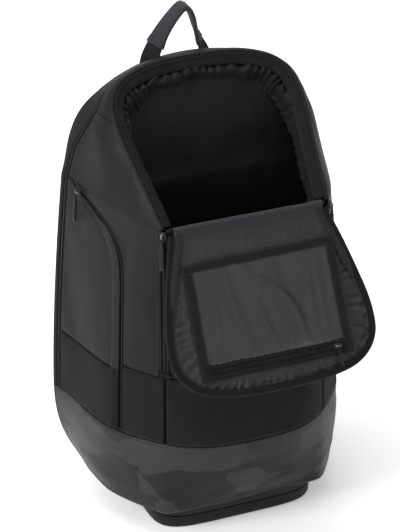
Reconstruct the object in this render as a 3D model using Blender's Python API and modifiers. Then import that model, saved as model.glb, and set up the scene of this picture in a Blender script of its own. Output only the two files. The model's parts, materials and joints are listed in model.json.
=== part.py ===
"""Racket backpack, modelled in metres, +Z up, standing on its base.

The wearer's side is +Y, the front with the racket compartment is -Y, and the origin is the
middle of the base's underside. The compartment's flap hangs open from its fold line.
"""

import math

import bmesh
import bpy
from mathutils import Matrix, Vector

# Overall size of the bag
BACK_Y = 0.099              # plane of the back panel
FRONT_Y = -0.084            # front seams, where side and front meet
SEAM_X = 0.103              # half-distance between the front seams
BAND_LOW_Z = 0.034          # lower edge of the band
BAND_TOP_Z = 0.134          # upper edge of the band
FOLD_Z = 0.418              # fold line of the flap
TOP_Z = 0.550               # top of the opening
MOUTH_Y = 0.078             # the opening's rim at the top of the arch
BAND_LOW_HALF = 0.1522      # half-width of the back at the band's lower edge
BACK_HALF = 0.1778          # half-width of the back above the band
TAPER = 0.018               # loss of half-width from the band up to the fold line
FRONT_DOME = 0.032          # swell of the front panel at the band's upper edge
SIDE_BULGE = 0.021          # swell of the side panels at the band's upper edge
FOLD_BULGE = 0.009          # the same at the fold line's height
TOP_BULGE = 0.0015          # the same at the middle of the arch
SPLIT_Z = 0.225             # change from coated fabric to matte fabric
POCKET_DROP = 0.010         # the same change lies lower on the side pockets
ARCH_STEPS = 10             # rows of the arch tables below

# Seams on the side: height share u and depth share s, as the surface below has them
MAIN_ZIP = [(1.00, 0.047), (1.18, 0.080), (1.33, 0.18), (1.46, 0.34), (1.60, 0.47), (2.0, 0.50)]
DIVIDER = [(-0.32, 0.49), (1.00, 0.33), (1.50, 0.50), (1.80, 0.54), (2.00, 0.66)]
POCKET_ZIP = [
    (0.00, 0.725), (0.60, 0.693), (0.74, 0.680), (0.81, 0.655), (0.86, 0.605), (0.90, 0.525),
    (0.935, 0.420), (0.965, 0.290), (0.990, 0.180), (1.020, 0.120),
]
POCKET_BEND = 0.74          # where that zip's bend starts
POCKET_SLIDER = 0.980       # where its slider is parked
MAIN_SLIDER = 1.26          # the same on the main zip

# The arch from the fold line's height to its middle: half-width and height
BACK_ARCH = [
    (0.1598, 0.418), (0.1557, 0.434), (0.1515, 0.455), (0.1475, 0.470), (0.1405, 0.487), (0.1300, 0.502),
    (0.1160, 0.514), (0.1000, 0.525), (0.0800, 0.5355), (0.0480, 0.5460), (0.0, 0.5505),
]
MOUTH_ARCH = [
    (0.1030, 0.418), (0.1060, 0.435), (0.1090, 0.453), (0.1125, 0.470), (0.1155, 0.488), (0.1165, 0.505),
    (0.1140, 0.519), (0.1060, 0.530), (0.0890, 0.540), (0.0520, 0.548), (0.0, 0.550),
]

# Fabric and gaps
PANEL = 0.0035              # padded panel thickness
WALL = 0.0030               # the divider and the back panel
WALL_INSET = 0.0065         # their side edges, from the outer surface
SEAM_GAP = 0.0012           # between two sewn panels
ZIP_HALF = 0.0042           # half-width of the slot that a zip fills
ZIP_WIDTH = 0.0052
FRONT_ZIP_WIDTH = 0.0058
ZIP_THICK = 0.0018
FRONT_ZIP_LOW = 0.237       # lower end of the zips beside the front panel
FRONT_ZIP_HIGH = 0.414

# Flap
FOLD_Y = FRONT_Y - 0.003            # the fold lies just in front of the front panel
FLAP_TILT = math.radians(33)        # forward of straight down
FLAP_LENGTH = 0.200
FLAP_DOME = 0.022
SHELL = 0.0025              # thickness of the flap's outer shell
SHELL_NEAR = 0.0036         # its outer face above the lining, at the fold
SHELL_FAR = 0.0052          # and further out
FLAP_OUTLINE = [
    (0.0060, 0.0945), (0.022, 0.099), (0.045, 0.1060), (0.080, 0.1150), (0.115, 0.1225), (0.143, 0.1240),
    (0.161, 0.1200), (0.176, 0.1090), (0.187, 0.0910), (0.193, 0.0660),
]
POCKET_HALF = 0.093
POCKET_NEAR = 0.041
POCKET_FAR = 0.176
POCKET_TAPE = 0.010
POCKET_FACE = -0.0008       # levels of the pocket's two faces below the lining
POCKET_TOP = -0.0022
FIT = 0.0005                # gap round the film and the zip

# Base
TRAY_HALF_X = 0.105
TRAY_HALF_Y = 0.074
TRAY_HEIGHT = 0.0330
TRAY_FLARE = 0.003
TRAY_POWER = 4.9
TRAY_WALL = 0.003

# Carrying parts
HANDLE_WIDTH = 0.026
HANDLE_WEB = 0.0022
HANDLE_SLEEVE = 0.0012
HANDLE_FOOT = Vector((0, 0.1055, 0.520))
SLEEVE_ENDS = 6             # points of the loop left bare at each end
HANDLE_PATH = [
    (-0.045, 0.1055, 0.512), (-0.042, 0.110, 0.541), (-0.028, 0.112, 0.569), (-0.011, 0.112, 0.592),
    (0.002, 0.112, 0.602), (0.011, 0.112, 0.591), (0.018, 0.112, 0.566), (0.027, 0.110, 0.541),
    (0.031, 0.1055, 0.512),
]
STRAP_WIDTH = 0.066
STRAP_THICK = 0.010
STRAP_PATH = [
    (0.048, 0.1255, 0.497), (0.054, 0.1400, 0.460), (0.062, 0.1530, 0.410), (0.071, 0.1590, 0.355),
    (0.081, 0.1570, 0.300), (0.090, 0.1490, 0.255), (0.098, 0.1380, 0.218),
]
WEB_PATH = [
    (0.1010, 0.1290, 0.1890), (0.1060, 0.1240, 0.1600), (0.1130, 0.1150, 0.1250), (0.1190, 0.1075, 0.1000),
]
WEB_WIDTH = 0.024
WEB_THICK = 0.0018
TAIL_LENGTH = 0.090
PAD_BACK = 0.0998           # plane that the back pads stand on

# Sliders and pulls
PULL_WIDTH = 0.0060
PULL_THICK = 0.0020
PULL_LIFT = 0.0038          # from the slider's seat to the pull's axis


# ---------------------------------------------------------------- plumbing

def clear_scene():
    for item in list(bpy.data.objects):
        bpy.data.objects.remove(item, do_unlink=True)


def collection(name):
    group = bpy.data.collections.new(name)
    bpy.context.scene.collection.children.link(group)
    return group


def material(name, colour, roughness, metallic=0.0):
    finish = bpy.data.materials.new(name)
    finish.use_nodes = True
    shader = finish.node_tree.nodes["Principled BSDF"]
    shader.inputs["Base Color"].default_value = (*colour, 1.0)
    shader.inputs["Roughness"].default_value = roughness
    shader.inputs["Metallic"].default_value = metallic
    return finish


def mesh_object(name, bm, finish, group, origin=(0, 0, 0), smooth=True):
    """Makes an object whose mesh was built in world space and whose origin is the given point."""
    bmesh.ops.recalc_face_normals(bm, faces=bm.faces)
    bmesh.ops.translate(bm, verts=bm.verts, vec=-Vector(origin))
    mesh = bpy.data.meshes.new(name)
    bm.to_mesh(mesh)
    bm.free()
    if smooth:
        mesh.shade_smooth()
        mesh.set_sharp_from_angle(angle=math.radians(40))
    item = bpy.data.objects.new(name, mesh)
    item.location = origin
    group.objects.link(item)
    mesh.materials.append(finish)
    return item


def thicken(item, thickness, offset=0.0):
    shell = item.modifiers.new("thickness", "SOLIDIFY")
    shell.thickness = thickness
    shell.offset = offset
    shell.use_even_offset = True
    return item


def soften(item, width, segments=2):
    edge = item.modifiers.new("rounding", "BEVEL")
    edge.width = width
    edge.segments = segments
    edge.limit_method = "ANGLE"
    return item


def cloth(name, rows, thickness, finish, group, outward, origin=(0, 0, 0), offset=-1.0):
    """A sheet through a grid of points, thickened towards the inside.

    outward tells, for the sheet's middle face, which way is out.
    """
    bm = bmesh.new()
    grid = [[bm.verts.new(Vector(point) - Vector(origin)) for point in row] for row in rows]
    for low, high in zip(grid, grid[1:]):
        for a, b, c, d in zip(low, low[1:], high[1:], high):
            bm.faces.new((a, b, c, d))
    bm.normal_update()
    faces = list(bm.faces)
    if faces[len(faces) // 2].normal.dot(Vector(outward)) < 0:
        bmesh.ops.reverse_faces(bm, faces=faces)
    mesh = bpy.data.meshes.new(name)
    bm.to_mesh(mesh)
    bm.free()
    mesh.shade_smooth()
    item = bpy.data.objects.new(name, mesh)
    item.location = origin
    group.objects.link(item)
    mesh.materials.append(finish)
    return thicken(item, thickness, offset)


def tube(name, points, radius, finish, group, origin=(0, 0, 0)):
    path = bpy.data.curves.new(name, "CURVE")
    path.dimensions = "3D"
    path.bevel_depth = radius
    path.bevel_resolution = 1
    path.use_fill_caps = True
    line = path.splines.new("POLY")
    line.points.add(len(points) - 1)
    for spot, point in zip(line.points, points):
        spot.co = (*(Vector(point) - Vector(origin)), 1.0)
    item = bpy.data.objects.new(name, path)
    item.location = origin
    group.objects.link(item)
    path.materials.append(finish)
    return item


def block(bm, centre, size, turn=Matrix.Identity(3)):
    place = Matrix.Translation(centre) @ turn.to_4x4() @ Matrix.Diagonal((*size, 1.0))
    bmesh.ops.create_cube(bm, size=1.0, matrix=place)


def catmull_rom(a, b, c, d, t):
    """The point at share t of the stretch from b to c."""
    square = (2 * a - 5 * b + 4 * c - d) * t * t
    cube = (3 * b - a - 3 * c + d) * t ** 3
    return 0.5 * (2 * b + (c - a) * t + square + cube)


def smooth_path(points, steps):
    """Points along a Catmull-Rom curve through the given ones, steps to each stretch."""
    given = [Vector(point) for point in points]
    given = [2 * given[0] - given[1], *given, 2 * given[-1] - given[-2]]
    path = []
    for a, b, c, d in zip(given, given[1:], given[2:], given[3:]):
        for step in range(steps):
            path.append(catmull_rom(a, b, c, d, step / steps))
    return [*path, given[-2]]


def table(rows, x, mirrored_end=False):
    """Smooth value of an evenly indexed table of tuples at index x."""
    last = len(rows) - 1
    x = min(max(x, 0.0), float(last))
    index = min(int(x), last - 1)
    t = x - index

    def row(i):
        if i < 0:
            return 2 * Vector(rows[0]) - Vector(rows[1])
        if i > last:
            if mirrored_end:
                back = Vector(rows[last - 1])
                return Vector((-back[0], back[1]))
            return 2 * Vector(rows[last]) - Vector(rows[last - 1])
        return Vector(rows[i])

    a, b, c, d = (row(index + k) for k in (-1, 0, 1, 2))
    return catmull_rom(a, b, c, d, t)


def mix(a, b, t):
    return a + (b - a) * t


# ---------------------------------------------------------------- the bag's outer surface
# u runs up the bag: 0 at the band's upper edge, 1 at the fold line's height, 2 at the middle of the arch.
# Below the band's upper edge u is negative. s runs from the back panel (0) to the front seam or rim (1).

def height_of(u):
    return mix(BAND_TOP_Z, FOLD_Z, u)


def u_at(z):
    return (z - BAND_TOP_Z) / (FOLD_Z - BAND_TOP_Z)


def back_edge(u):
    if u > 1:
        half, z = table(BACK_ARCH, (u - 1) * ARCH_STEPS, True)
        return Vector((half, BACK_Y, z))
    z = height_of(u)
    if z < BAND_TOP_Z:
        share = (BAND_TOP_Z - z) / (BAND_TOP_Z - BAND_LOW_Z)
        return Vector((mix(BACK_HALF, BAND_LOW_HALF, share ** 2.4), BACK_Y - 0.005 * share, z))
    rise = max(0.0, (z - BAND_TOP_Z) / (FOLD_Z - BAND_TOP_Z))
    return Vector((BACK_HALF - TAPER * rise ** 1.6, BACK_Y, z))


def front_edge(u):
    if u > 1:
        half, z = table(MOUTH_ARCH, (u - 1) * ARCH_STEPS, True)
        return Vector((half, mix(FRONT_Y, MOUTH_Y, (z - FOLD_Z) / (TOP_Z - FOLD_Z)), z))
    return Vector((SEAM_X, FRONT_Y, height_of(u)))


def arch_normal(u):
    if u <= 1:
        return Vector((1, 0, 0))
    step = 0.02
    along = back_edge(min(u + step, 2.0)) - back_edge(u - step)
    return Vector((along.z, 0, -along.x)).normalized()


def skin(side, u, s):
    """A point of the outer surface on the left (side -1) or the right (side 1)."""
    point = back_edge(u).lerp(front_edge(u), s)
    over = max(0.0, u - 1)
    under = min(1.0, max(0.0, -u / -u_at(BAND_LOW_Z)))
    rise = min(1.0, max(0.0, u))
    bulge = mix(SIDE_BULGE, FOLD_BULGE, rise ** 0.8) + 0.003 * under
    if over:
        bulge = mix(FOLD_BULGE, TOP_BULGE, over)
    point += arch_normal(u) * bulge * math.sin(math.pi * s ** mix(1.6, 1.2, under))
    return Vector((point.x * side, point.y, point.z))


def skin_normal(side, u, s):
    step = 0.01
    along_u = skin(side, min(u + step, 2.0), s) - skin(side, u - step, s)
    along_s = skin(side, u, min(s + step, 1.0)) - skin(side, u, max(s - step, 0.0))
    return (along_u.cross(along_s) * side).normalized()


def front_skin(x, z):
    """A point of the front panel, which swells most at the band's upper edge."""
    if z > BAND_TOP_Z:
        swell = (1 - ((z - BAND_TOP_Z) / (FOLD_Z - BAND_TOP_Z)) ** 1.4) ** 1.25
    else:
        swell = ((z - BAND_LOW_Z) / (BAND_TOP_Z - BAND_LOW_Z)) ** 0.7
    round_off = 1 - min(1.0, abs(x) / SEAM_X) ** 3
    return Vector((x, FRONT_Y - FRONT_DOME * swell * round_off, z))


def depth(u):
    return (back_edge(u) - front_edge(u)).length


def along_stops(stops, u):
    if u <= stops[0][0]:
        return stops[0][1]
    for (low, a), (high, b) in zip(stops, stops[1:]):
        if u <= high:
            return mix(a, b, (u - low) / (high - low))
    return stops[-1][1]


def main_zip_s(u):
    """Where the main compartment's zip runs on the gusset."""
    return along_stops(MAIN_ZIP, u)


def pocket_zip_s(u):
    """Where the side pocket's zip runs: up from the band, then slanting back to the main zip."""
    return along_stops(POCKET_ZIP, u)


def seam_line(u):
    """The front seam and the opening's rim."""
    return 1.0


def lerp_list(low, high, count):
    return [mix(low, high, k / count) for k in range(count + 1)]


def side_patch(side, levels, s_from, s_to, columns):
    shares = lerp_list(0.0, 1.0, columns)
    return [[skin(side, u, mix(s_from(u), s_to(u), share)) for share in shares] for u in levels]


def offset_s(line, distance):
    """The same seam line, moved forward along the surface by a distance measured square to it."""
    step = 0.012

    def moved(u):
        slope = (line(u + step) - line(u - step)) * depth(u) / (2 * step * (FOLD_Z - BAND_TOP_Z))
        return line(u) + distance * math.hypot(1.0, slope) / depth(u)

    return moved


# ---------------------------------------------------------------- finishes

def finishes():
    return {
        "coated": material("coated_fabric", (0.055, 0.055, 0.057), 0.45),
        "matte": material("matte_fabric", (0.021, 0.021, 0.022), 0.85),
        "band": material("band_satin", (0.046, 0.046, 0.050), 0.40),
        "tray": material("tray_plastic", (0.014, 0.014, 0.015), 0.60),
        "lining": material("lining_satin", (0.045, 0.043, 0.052), 0.45),
        "inner": material("inner_lining", (0.010, 0.010, 0.010), 0.70),
        "webbing": material("webbing", (0.012, 0.012, 0.013), 0.80),
        "sleeve": material("handle_sleeve", (0.030, 0.029, 0.034), 0.85),
        "mesh": material("spacer_mesh", (0.016, 0.016, 0.017), 0.90),
        "film": material("pocket_film", (0.060, 0.058, 0.070), 0.30),
        "zip": material("zip_tape", (0.008, 0.008, 0.008), 0.65),
        "metal": material("slider_metal", (0.350, 0.350, 0.360), 0.30, 1.0),
        "pull": material("pull_tab", (0.010, 0.010, 0.010), 0.60),
        "buckle": material("buckle_plastic", (0.013, 0.013, 0.013), 0.45),
        "board": material("board", (0.020, 0.020, 0.020), 0.80),
    }


# ---------------------------------------------------------------- base and band

def superellipse(half_x, half_y, z, power, count):
    ring = []
    for k in range(count):
        angle = 2 * math.pi * k / count
        c, s = math.cos(angle), math.sin(angle)
        x = half_x * math.copysign(abs(c) ** (2 / power), c)
        y = half_y * math.copysign(abs(s) ** (2 / power), s)
        ring.append(Vector((x, y, z)))
    return ring


def base_tray(fin, group):
    """A shallow dish, open at the top, that the bag stands on."""
    count = 40
    corner = 0.004
    levels = [
        superellipse(TRAY_HALF_X - corner, TRAY_HALF_Y - corner, 0.0, TRAY_POWER, count),
        superellipse(TRAY_HALF_X, TRAY_HALF_Y, corner, TRAY_POWER, count),
        superellipse(TRAY_HALF_X + TRAY_FLARE, TRAY_HALF_Y + TRAY_FLARE, TRAY_HEIGHT, TRAY_POWER, count),
    ]
    bm = bmesh.new()
    rings = [[bm.verts.new(point) for point in ring] for ring in levels]
    bm.faces.new(list(reversed(rings[0])))
    for low, high in zip(rings, rings[1:]):
        for k in range(count):
            n = (k + 1) % count
            bm.faces.new((low[k], low[n], high[n], high[k]))
    item = mesh_object("base_tray", bm, fin["tray"], group)
    thicken(item, TRAY_WALL, -1.0)


def outline_at(z, inset):
    """The bag's plan at a height: up the left side, across the front, back along the right."""
    u = u_at(z)
    left = [skin(-1, u, s) for s in lerp_list(0.0, 1.0, 8)]
    front = [front_skin(x, z) for x in lerp_list(-SEAM_X, SEAM_X, 8)][1:-1]
    right = [skin(1, u, s) for s in lerp_list(1.0, 0.0, 8)]
    ring = left + front + right
    middle = Vector((0.0, 0.0, z))
    return [middle + (point - middle) * (1 - inset / (point - middle).length) for point in ring]


def plate(name, ring, thickness, finish, group):
    bm = bmesh.new()
    face = bm.faces.new([bm.verts.new(point) for point in ring])
    grown = bmesh.ops.extrude_face_region(bm, geom=[face])
    verts = [part for part in grown["geom"] if isinstance(part, bmesh.types.BMVert)]
    bmesh.ops.translate(bm, verts=verts, vec=(0, 0, thickness))
    return mesh_object(name, bm, finish, group)


def bottom(fin, group):
    plate("bottom_panel", outline_at(BAND_LOW_Z, 0.0065), 0.003, fin["matte"], group)
    board = outline_at(BAND_LOW_Z + 0.0035, 0.016)
    plate("floor_board", board, 0.003, fin["board"], group)


def band(fin, group):
    low, high = u_at(BAND_LOW_Z), u_at(BAND_TOP_Z - SEAM_GAP)
    levels = lerp_list(low, high, 4)
    for side, label in ((-1, "left"), (1, "right")):
        rows = side_patch(side, levels, lambda u: 0.0, offset_s(seam_line, -SEAM_GAP), 8)
        cloth(f"band_{label}", rows, PANEL, fin["band"], group, (side, 0, 0))
    reach = SEAM_X - 2.2 * SEAM_GAP
    heights = lerp_list(BAND_LOW_Z, BAND_TOP_Z - SEAM_GAP, 4)
    rows = [[front_skin(x, z) for x in lerp_list(-reach, reach, 8)] for z in heights]
    cloth("band_front", rows, PANEL, fin["band"], group, (0, -1, 0))


# ---------------------------------------------------------------- side, front and top panels

def side_panels(fin, group):
    split = u_at(SPLIT_Z)
    gap = SEAM_GAP / (FOLD_Z - BAND_TOP_Z)
    pocket_split = u_at(SPLIT_Z - POCKET_DROP)
    lower = lerp_list(0.0, split - gap, 2)
    pocket_lower = lerp_list(0.0, pocket_split - gap, 2)
    bend = [stop for stop, share in POCKET_ZIP if stop >= POCKET_BEND]
    upper = lerp_list(pocket_split, bend[0], 4) + bend[1:-1]
    corner_levels = lerp_list(split, bend[0], 4) + bend[1:] + lerp_list(1.14, 1.5, 4)
    behind = offset_s(main_zip_s, ZIP_HALF)
    before_pocket = offset_s(pocket_zip_s, -ZIP_HALF)
    after_pocket = offset_s(pocket_zip_s, ZIP_HALF * 1.4)

    def corner_start(u):
        return max(after_pocket(u), behind(u)) if u < bend[-1] else behind(u)

    zip_side = offset_s(seam_line, -ZIP_HALF)
    seam_side = offset_s(seam_line, -SEAM_GAP)

    def corner_end(u):
        return zip_side(u) if u < 1.0 else 1.0

    for side, label in ((-1, "left"), (1, "right")):
        out = (side, 0, 0)
        rows = side_patch(side, pocket_lower, behind, before_pocket, 6)
        cloth(f"pocket_lower_{label}", rows, PANEL, fin["matte"], group, out)
        rows = side_patch(side, upper, behind, before_pocket, 6)
        cloth(f"pocket_upper_{label}", rows, PANEL, fin["coated"], group, out)
        rows = side_patch(side, lower, after_pocket, seam_side, 3)
        cloth(f"corner_lower_{label}", rows, PANEL, fin["matte"], group, out)
        rows = side_patch(side, corner_levels, corner_start, corner_end, 6)
        cloth(f"corner_upper_{label}", rows, PANEL, fin["coated"], group, out)


def arch_levels(start, steps):
    """Levels from the left side over the top to the right side, with the side that each is on."""
    left = [(-1, u) for u in lerp_list(start, 2.0, steps)]
    right = [(1, u) for u in lerp_list(2.0, start, steps)]
    return left + right[1:]


def gussets(fin, group):
    behind = offset_s(main_zip_s, -ZIP_HALF * 0.9)
    ahead = offset_s(main_zip_s, ZIP_HALF * 0.9)
    rows = []
    for side, u in arch_levels(1.506, 6):
        rows.append([skin(side, u, mix(ahead(u), 1.0, k / 3)) for k in range(4)])
    cloth("gusset_top", rows, PANEL, fin["coated"], group, (0, 0, 1))
    rows = []
    for side, u in arch_levels(0.0, 16):
        rows.append([skin(side, u, mix(0.0, behind(u), k / 2)) for k in range(3)])
    cloth("gusset_back", rows, PANEL, fin["matte"], group, (0, 0, 1))


def front_panels(fin, group):
    reach = SEAM_X - ZIP_HALF
    heights = lerp_list(SPLIT_Z, FRONT_ZIP_HIGH, 5)
    rows = [[front_skin(x, z) for x in lerp_list(-reach, reach, 8)] for z in heights]
    cloth("front_upper", rows, PANEL, fin["coated"], group, (0, -1, 0))
    reach = SEAM_X - SEAM_GAP
    heights = lerp_list(BAND_TOP_Z, SPLIT_Z - SEAM_GAP, 3)
    rows = [[front_skin(x, z) for x in lerp_list(-reach, reach, 8)] for z in heights]
    cloth("front_lower", rows, PANEL, fin["matte"], group, (0, -1, 0))


def flat_rows(low, share_of):
    """A wall that spans the bag from side to side, at a share of its depth that changes with height."""
    rows = []
    for u in lerp_list(u_at(low), 1.0, 6) + lerp_list(1.0, 1.93, 10)[1:]:
        wall = skin(1, u, share_of(u)) - arch_normal(u) * WALL_INSET
        rows.append([Vector((wall.x * k, wall.y, wall.z)) for k in (-1, -0.5, 0, 0.5, 1)])
    return rows


def walls(fin, group):
    rows = flat_rows(BAND_LOW_Z + 0.0085, lambda u: along_stops(DIVIDER, u))
    cloth("compartment_divider", rows, WALL, fin["inner"], group, (0, -1, 0), offset=0.0)
    rows = flat_rows(BAND_LOW_Z + 0.0040, lambda u: 0.0055 / depth(u))
    cloth("back_panel", rows, WALL, fin["mesh"], group, (0, 1, 0), offset=0.0)


# ---------------------------------------------------------------- rims and zips

def strip(name, points, normals, width, finish, group):
    """A flat tape along points, lying across its normals."""
    rows = []
    for k, (point, normal) in enumerate(zip(points, normals)):
        along = points[min(k + 1, len(points) - 1)] - points[max(k - 1, 0)]
        across = along.cross(normal).normalized() * width / 2
        rows.append([point - across, point + across])
    middle = normals[(len(rows) - 1) // 2]
    cloth(name, rows, ZIP_THICK, finish, group, middle)


def seam_normal(side):
    return Vector((side * 0.75, -0.66, 0)).normalized()


def zips(fin, group):
    points, normals = [], []
    for side, u in arch_levels(0.02, 18):
        points.append(skin(side, u, main_zip_s(u)))
        normals.append(skin_normal(side, min(u, 1.96), main_zip_s(u)))
    strip("main_zip", points, normals, ZIP_WIDTH, fin["zip"], group)
    bend = [stop for stop, share in POCKET_ZIP if POCKET_BEND < stop < POCKET_SLIDER]
    levels = lerp_list(0.0, POCKET_BEND, 4) + bend + [POCKET_SLIDER]
    for side, label in ((-1, "left"), (1, "right")):
        points = [skin(side, u, pocket_zip_s(u)) for u in levels]
        normals = [skin_normal(side, u, pocket_zip_s(u)) for u in levels]
        strip(f"pocket_zip_{label}", points, normals, ZIP_WIDTH, fin["zip"], group)
        heights = lerp_list(FRONT_ZIP_LOW, FRONT_ZIP_HIGH, 5)
        points = [Vector((side * SEAM_X, FRONT_Y, z)) for z in heights]
        normals = [seam_normal(side)] * len(points)
        strip(f"front_zip_{label}", points, normals, FRONT_ZIP_WIDTH, fin["zip"], group)


def rim(fin, group):
    """The bound edge of the opening, just inside the gusset's front edge."""
    plane = Vector((0, -(TOP_Z - FOLD_Z), MOUTH_Y - FRONT_Y)).normalized()
    centre = Vector((0, (FRONT_Y + MOUTH_Y) / 2, (FOLD_Z + TOP_Z) / 2))
    points = []
    for side, u in arch_levels(1.03, 14):
        edge = skin(side, u, 1.0)
        inward = centre - edge
        inward -= plane * inward.dot(plane)
        points.append(edge + inward.normalized() * 0.0075 - plane * 0.0055)
    tube("opening_rim", points, 0.0022, fin["zip"], group)


def fold(fin, group):
    points = [(x, FOLD_Y, FOLD_Z) for x in lerp_list(-0.094, 0.094, 4)]
    tube("fold_binding", points, 0.0028, fin["coated"], group)


# ---------------------------------------------------------------- flap

FOLD = Vector((0, FOLD_Y, FOLD_Z))
FLAP_DOWN = Vector((0, -math.sin(FLAP_TILT), -math.cos(FLAP_TILT)))
FLAP_OUT = Vector((0, math.cos(FLAP_TILT), -math.sin(FLAP_TILT)))


def flap_point(x, v, w):
    """A point of the flap: x across, v from the fold, w towards the bag's outside when it is shut."""
    return FOLD + Vector((x, 0, 0)) + FLAP_DOWN * v + FLAP_OUT * w


def flap_rows(count):
    rows = []
    for k in range(count + 1):
        v, half = table(FLAP_OUTLINE, k * (len(FLAP_OUTLINE) - 1) / count)
        rows.append((v, half))
    return rows


def dome(x, v, half):
    across = 1 - min(1.0, abs(x) / half) ** 2.2
    down = math.sin(math.pi * min(1.0, v / FLAP_LENGTH) ** 1.5)
    return FLAP_DOME * across * down


def shell_level(x, v, half):
    """How far the flap's outer face stands from its lining's middle: thin at the fold, then domed."""
    return mix(SHELL_NEAR, SHELL_FAR, min(1.0, v / 0.05)) + dome(x, v, half)


def flap_edge(grow):
    """The flap's outline from the fold's left end round to its right end, moved outwards."""
    right = [Vector((half, v, 0)) for v, half in flap_rows(12)]
    left = [Vector((-point.x, point.y, 0)) for point in right]
    ring = left + [Vector((x, left[-1].y, 0)) for x in (-0.035, 0.0, 0.035)] + list(reversed(right))
    moved = []
    for k, point in enumerate(ring):
        before = (point - ring[max(k - 1, 0)]).normalized()
        after = (ring[min(k + 1, len(ring) - 1)] - point).normalized()
        along = (before + after).normalized()
        out = Vector((-along.y, along.x, 0))
        moved.append(point + out * grow / max(0.7, (before + after).length / 2))
    return moved


def flap(fin, group):
    shell, cover = [], []
    for v, half in flap_rows(12):
        across = [half * k for k in (-1, -0.85, -0.6, -0.3, 0, 0.3, 0.6, 0.85, 1)]
        shell.append([flap_point(x, v, shell_level(x, v, half)) for x in across])
        cover.append([flap_point(half * k, v, 0.0) for k in (-1, 0, 1)])
    cloth("flap_shell", shell, SHELL, fin["coated"], group, FLAP_OUT, FOLD)
    cloth("flap_lining", cover, 0.0010, fin["lining"], group, FLAP_OUT, FOLD, 0.0)
    edge = [flap_point(point.x, point.y, 0.0024) for point in flap_edge(0.0029)[1:-1]]
    tube("flap_piping", edge, 0.0019, fin["zip"], group, origin=FOLD)


def flap_block(bm, half, v_low, v_high, w_low, w_high):
    """A block on the flap, as wide as its half-width says, between two levels each way."""
    turn = Matrix(((1, 0, 0), FLAP_DOWN, FLAP_OUT)).transposed()
    centre = flap_point(0, (v_low + v_high) / 2, (w_low + w_high) / 2)
    block(bm, centre, (2 * half, v_high - v_low, w_high - w_low), turn)


def pocket_frame(fin, group):
    """The tapes round the pocket: a flat ring with a window in it."""
    window = POCKET_HALF - POCKET_TAPE, POCKET_NEAR + POCKET_TAPE, POCKET_FAR - POCKET_TAPE / 2
    bm = bmesh.new()
    rings = []
    for half, near, far in ((POCKET_HALF, POCKET_NEAR, POCKET_FAR), window):
        corners = ((-half, near), (half, near), (half, far), (-half, far))
        rings.append([bm.verts.new(flap_point(x, v, POCKET_FACE)) for x, v in corners])
    outer, inner = rings
    for k in range(4):
        n = (k + 1) % 4
        bm.faces.new((outer[k], outer[n], inner[n], inner[k]))
    grown = bmesh.ops.extrude_face_region(bm, geom=list(bm.faces))
    verts = [part for part in grown["geom"] if isinstance(part, bmesh.types.BMVert)]
    bmesh.ops.translate(bm, verts=verts, vec=FLAP_OUT * (POCKET_TOP - POCKET_FACE))
    mesh_object("pocket_frame", bm, fin["webbing"], group, FOLD, smooth=False)


def flap_pocket(fin, group):
    """A see-through pocket on the lining: a tape frame, a film, and a zip along its far side."""
    pocket_frame(fin, group)
    half = POCKET_HALF - POCKET_TAPE - FIT
    near = POCKET_NEAR + POCKET_TAPE + FIT
    zip_near = POCKET_FAR - 2 * POCKET_TAPE
    zip_far = POCKET_FAR - POCKET_TAPE / 2 - FIT
    recess = 0.0002
    bm = bmesh.new()
    flap_block(bm, half, near, zip_near, POCKET_TOP + recess, POCKET_FACE - recess)
    mesh_object("pocket_film", bm, fin["film"], group, FOLD, smooth=False)
    bm = bmesh.new()
    flap_block(bm, half, zip_near + FIT, zip_far, POCKET_TOP, POCKET_FACE - recess)
    mesh_object("pocket_zip", bm, fin["zip"], group, FOLD, smooth=False)


# ---------------------------------------------------------------- sliders and pulls

def slider(name, place, along, out, fin, group):
    """A zip slider: a flat body with a bridge that the pull hangs on."""
    across = along.cross(out).normalized()
    turn = Matrix((across, along, out)).transposed()
    bm = bmesh.new()
    block(bm, place + out * 0.0012, (0.0075, 0.0100, 0.0022), turn)
    item = mesh_object(name, bm, fin["metal"], group, place)
    return soften(item, 0.0008)


def pull(name, place, along, out, length, width, fin, group):
    """A cord pull that hangs from the slider and turns about an axis across it."""
    across = along.cross(out).normalized()
    turn = Matrix((across, along, out)).transposed()
    bm = bmesh.new()
    block(bm, place + along * (length / 2), (width, length, PULL_THICK), turn)
    item = mesh_object(name, bm, fin["pull"], group, place)
    return soften(item, 0.0006, 1)


def seat(side, u, line):
    """Where a slider sits on a side seam, which way is out, and the seam's downward direction."""
    place = skin(side, u, line(u))
    out = skin_normal(side, u, line(u))
    along = skin(side, u - 0.05, line(u - 0.05)) - place
    along = (along - out * along.dot(out)).normalized()
    return place, out, along


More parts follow.
